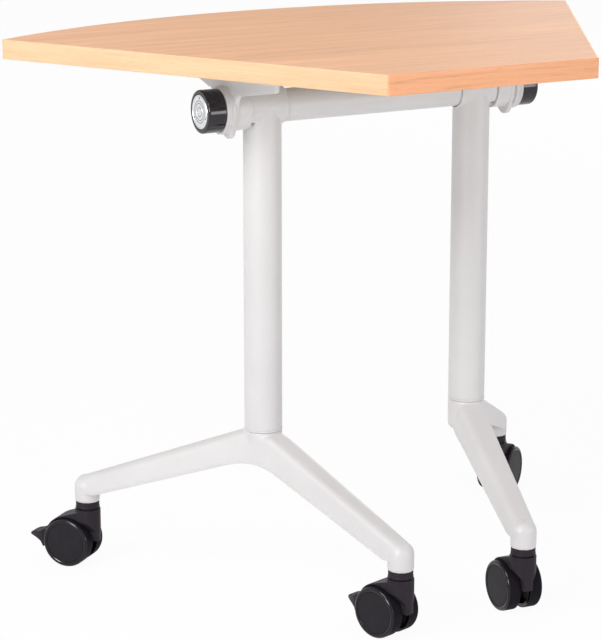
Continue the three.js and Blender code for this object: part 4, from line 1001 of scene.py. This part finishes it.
def casters():
    """Each pattern is copied to the four sockets and turned to the heading that it has there."""
    kinds = [
        ("collar", stem_collar(), "black", "frame", "caster_stem"),
        ("hood_shell", hood(), "black", "PLACE_caster", "caster_hood"),
        ("axle_pin", axle_cap(), "zinc", "PLACE_caster", "caster_axle"),
        ("pedal_lever", pedal(), "black", "PLACE_pedal", "brake_pedal"),
        ("wheel_a_disc", wheel(), ["rim", "wheel_face", "tread"], "PLACE_wheel_a", "wheel_a"),
        ("wheel_b_disc", wheel(), ["rim", "wheel_face", "tread"], "PLACE_wheel_b", "wheel_b"),
    ]
    finishes = wheel_finishes(kinds[-1][1])
    for place, heading in HEADINGS.items():
        side = -1 if place.startswith("left") else 1
        x, y = ARMS[0 if place.endswith("rear") else 1]
        stand = Matrix.Translation((side * (COLUMN_X + x * ARM_LENGTH) * MM, y * ARM_LENGTH * MM, 0))
        stand = stand @ Matrix.Rotation(math.radians(90 - heading), 4, "Z")
        for name, pattern, material, body, node in kinds:
            one = pattern.copy()
            one.data = pattern.data.copy()
            if name.startswith("wheel_b"):
                hub = Matrix.Translation((TRAIL * MM, 0, 0))
                one.data.transform(hub @ Matrix.Rotation(math.pi, 4, "Z") @ hub.inverted())
            one.data.transform(stand)
            bpy.context.scene.collection.objects.link(one)
            dress(one, f"{place}_{name}", material, body.replace("PLACE", place), [f"{place}_{node}"])
            if name.startswith("wheel"):
                for face, finish in zip(one.data.polygons, finishes):
                    face.material_index = finish
    for _, pattern, _, _, _ in kinds:
        bpy.data.objects.remove(pattern)


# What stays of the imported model, and the set
def dress_nodes():
    """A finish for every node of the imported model. Those that a piece here replaces are hidden."""
    finish = {"beech_laminate": "beech", "edge_band": "band_inner", "powder_coat": "coat", "black_plastic": "black",
              "black_gloss_plastic": "gloss", "brushed_disc": "disc", "zinc_steel": "zinc", "grey_nylon": "nylon"}
    slots = {part["node"]: part["material_slot"] for part in frame["record"]["subparts"]}
    for name, node in nodes.items():
        node.data.materials.clear()
        node.data.materials.append(MATERIALS[finish[slots[name]]])


def seen_or_mirrored(tree):
    """1 for what the camera sees straight, in a reflection or through a clear body, and 0 for the rest."""
    path = tree.nodes.new("ShaderNodeLightPath")
    seen = path.outputs["Is Camera Ray"]
    for kind in ("Is Glossy Ray", "Is Transmission Ray"):
        most = tree.nodes.new("ShaderNodeMath")
        most.operation = "MAXIMUM"
        tree.links.new(seen, most.inputs[0])
        tree.links.new(path.outputs[kind], most.inputs[1])
        seen = most.outputs[0]
    return seen


def make_floor():
    """A wide pale floor under the wheels, in metres."""
    floor_z, reach = cad_box[0].z, 14
    corners = [(-reach, -reach), (reach, -reach), (reach, reach), (-reach, reach)]
    mesh = bpy.data.meshes.new("floor")
    mesh.from_pydata([(x, y, floor_z) for x, y in corners], [], [(0, 1, 2, 3)])
    floor = bpy.data.objects.new("floor", mesh)
    bpy.context.scene.collection.objects.link(floor)
    s = Shader("floor_paint", Roughness=0.85)
    speck = s.noise(30, 3.0, 0.5)
    s.colour(s.ramp(speck, [(0.3, (0.95, 0.95, 0.95)), (0.7, (0.97, 0.97, 0.97))]))
    glow = s.add("Emission")
    mix = s.add("MixShader")
    s.feed(mix.inputs[0], s.math("MULTIPLY", seen_or_mirrored(s.tree), 0.95))
    s.tree.links.new(s.surface.outputs[0], mix.inputs[1])
    s.tree.links.new(glow.outputs[0], mix.inputs[2])
    s.tree.links.new(mix.outputs[0], s.tree.nodes["Material Output"].inputs["Surface"])
    floor.data.materials.append(s.material)


def lamp(name, place, size, power, aim=(0, 0, 0.4)):
    """A soft rectangular lamp, in metres and watts."""
    data = bpy.data.lights.new(name, "AREA")
    data.energy = power
    data.shape = "RECTANGLE"
    data.size, data.size_y = size
    one = bpy.data.objects.new(name, data)
    one.location = place
    one.rotation_euler = (Vector(aim) - Vector(place)).to_track_quat("-Z", "Y").to_euler()
    bpy.context.scene.collection.objects.link(one)
    return one


def make_light():
    """Soft lamps to the left, above, in front and behind, one that only mirrors, and a white world."""
    lamp("key", (-4.8, -2.5, 1.75), (1.2, 1.5), 35)
    lamp("high", (-2.0, -0.8, 2.2), (1.3, 1.0), 36)
    lamp("low", (1.6, -3.2, 0.55), (1.6, 0.8), 22)
    lamp("back", (3.6, 3.7, 1.5), (2.0, 1.2), 25)
    glint = lamp("glint", (-3.4, -1.75, 1.3), (0.9, 0.9), 60)
    glint.visible_diffuse = False
    world = bpy.data.worlds.new("studio")
    world.use_nodes = True
    tree = world.node_tree
    plain = tree.nodes["Background"]
    plain.inputs["Color"].default_value = (1, 1, 1, 1)
    plain.inputs["Strength"].default_value = 0.48
    white = tree.nodes.new("ShaderNodeBackground")
    white.inputs["Color"].default_value = (1, 1, 1, 1)
    white.inputs["Strength"].default_value = 1.0
    mix = tree.nodes.new("ShaderNodeMixShader")
    tree.links.new(seen_or_mirrored(tree), mix.inputs[0])
    tree.links.new(plain.outputs[0], mix.inputs[1])
    tree.links.new(white.outputs[0], mix.inputs[2])
    tree.links.new(mix.outputs[0], tree.nodes["World Output"].inputs["Surface"])
    bpy.context.scene.world = world


BEECH = (0.9, 0.49, 0.27)
# Painted light: the side and arc bands are the same beech veneer as the inner band, painted paler and less orange for
# the light from the left, with painted sheen.
BAND_PAINTED_LIGHT = (0.88, 0.58, 0.35)
MATERIALS = {
    "beech": wood("beech", BEECH, roughness=0.5, contrast=1.5, level=0.3),
    "backing": wood("backing", (0.6, 0.52, 0.44), roughness=0.6, contrast=0.5, level=0.25),
    # Painted shade: the inner band is the same veneer as the side bands, painted darker and deeper orange.
    "band_inner": wood("band_inner", (0.95, 0.455, 0.235), contrast=2.2),
    "band_right": wood("band_right", BAND_PAINTED_LIGHT, turn=math.radians(-60)),
    "band_left": wood("band_left", BAND_PAINTED_LIGHT, turn=math.radians(60)),
    "band_arc": wood("band_arc", BAND_PAINTED_LIGHT, arc=True),
    "coat": powder_coat(),
    "black": plastic("black", (0.027, 0.0225, 0.0285), 0.42, 0.52, 1300, 0.0001, 0.1),
    "rim": plastic("rim", (0.005, 0.004, 0.006), 0.1, 0.14, 900, 0.00001, 0.34),
    "tread": plastic("tread", (0.011, 0.0095, 0.0125), 0.6, 0.7, 900, 0.00004, 0.05),
    "wheel_face": plastic("wheel_face", (0.018, 0.0155, 0.0195), 0.42, 0.54, 1100, 0.0001, 0.14),
    "gloss": plastic("gloss", (0.012, 0.01, 0.012), 0.06, 0.12, 240, 0.00002, 0.5),
    "disc": turned_metal("disc", (0.8, 0.81, 0.84), 0.26, 2600, PIVOT_Z * MM),
    "zinc": turned_metal("zinc", (0.6, 0.6, 0.61), 0.34, 0),
    "nylon": plastic("nylon", (0.36, 0.35, 0.34), 0.45, 0.55, 1200, 0.0001),
}

bpy.context.scene.view_settings.view_transform = "Standard"
make_camera()
dress_nodes()
top_board()
edge_bands()
brackets()
heads()
beam()
knobs()
columns()
feet()
casters()
make_floor()
make_light()
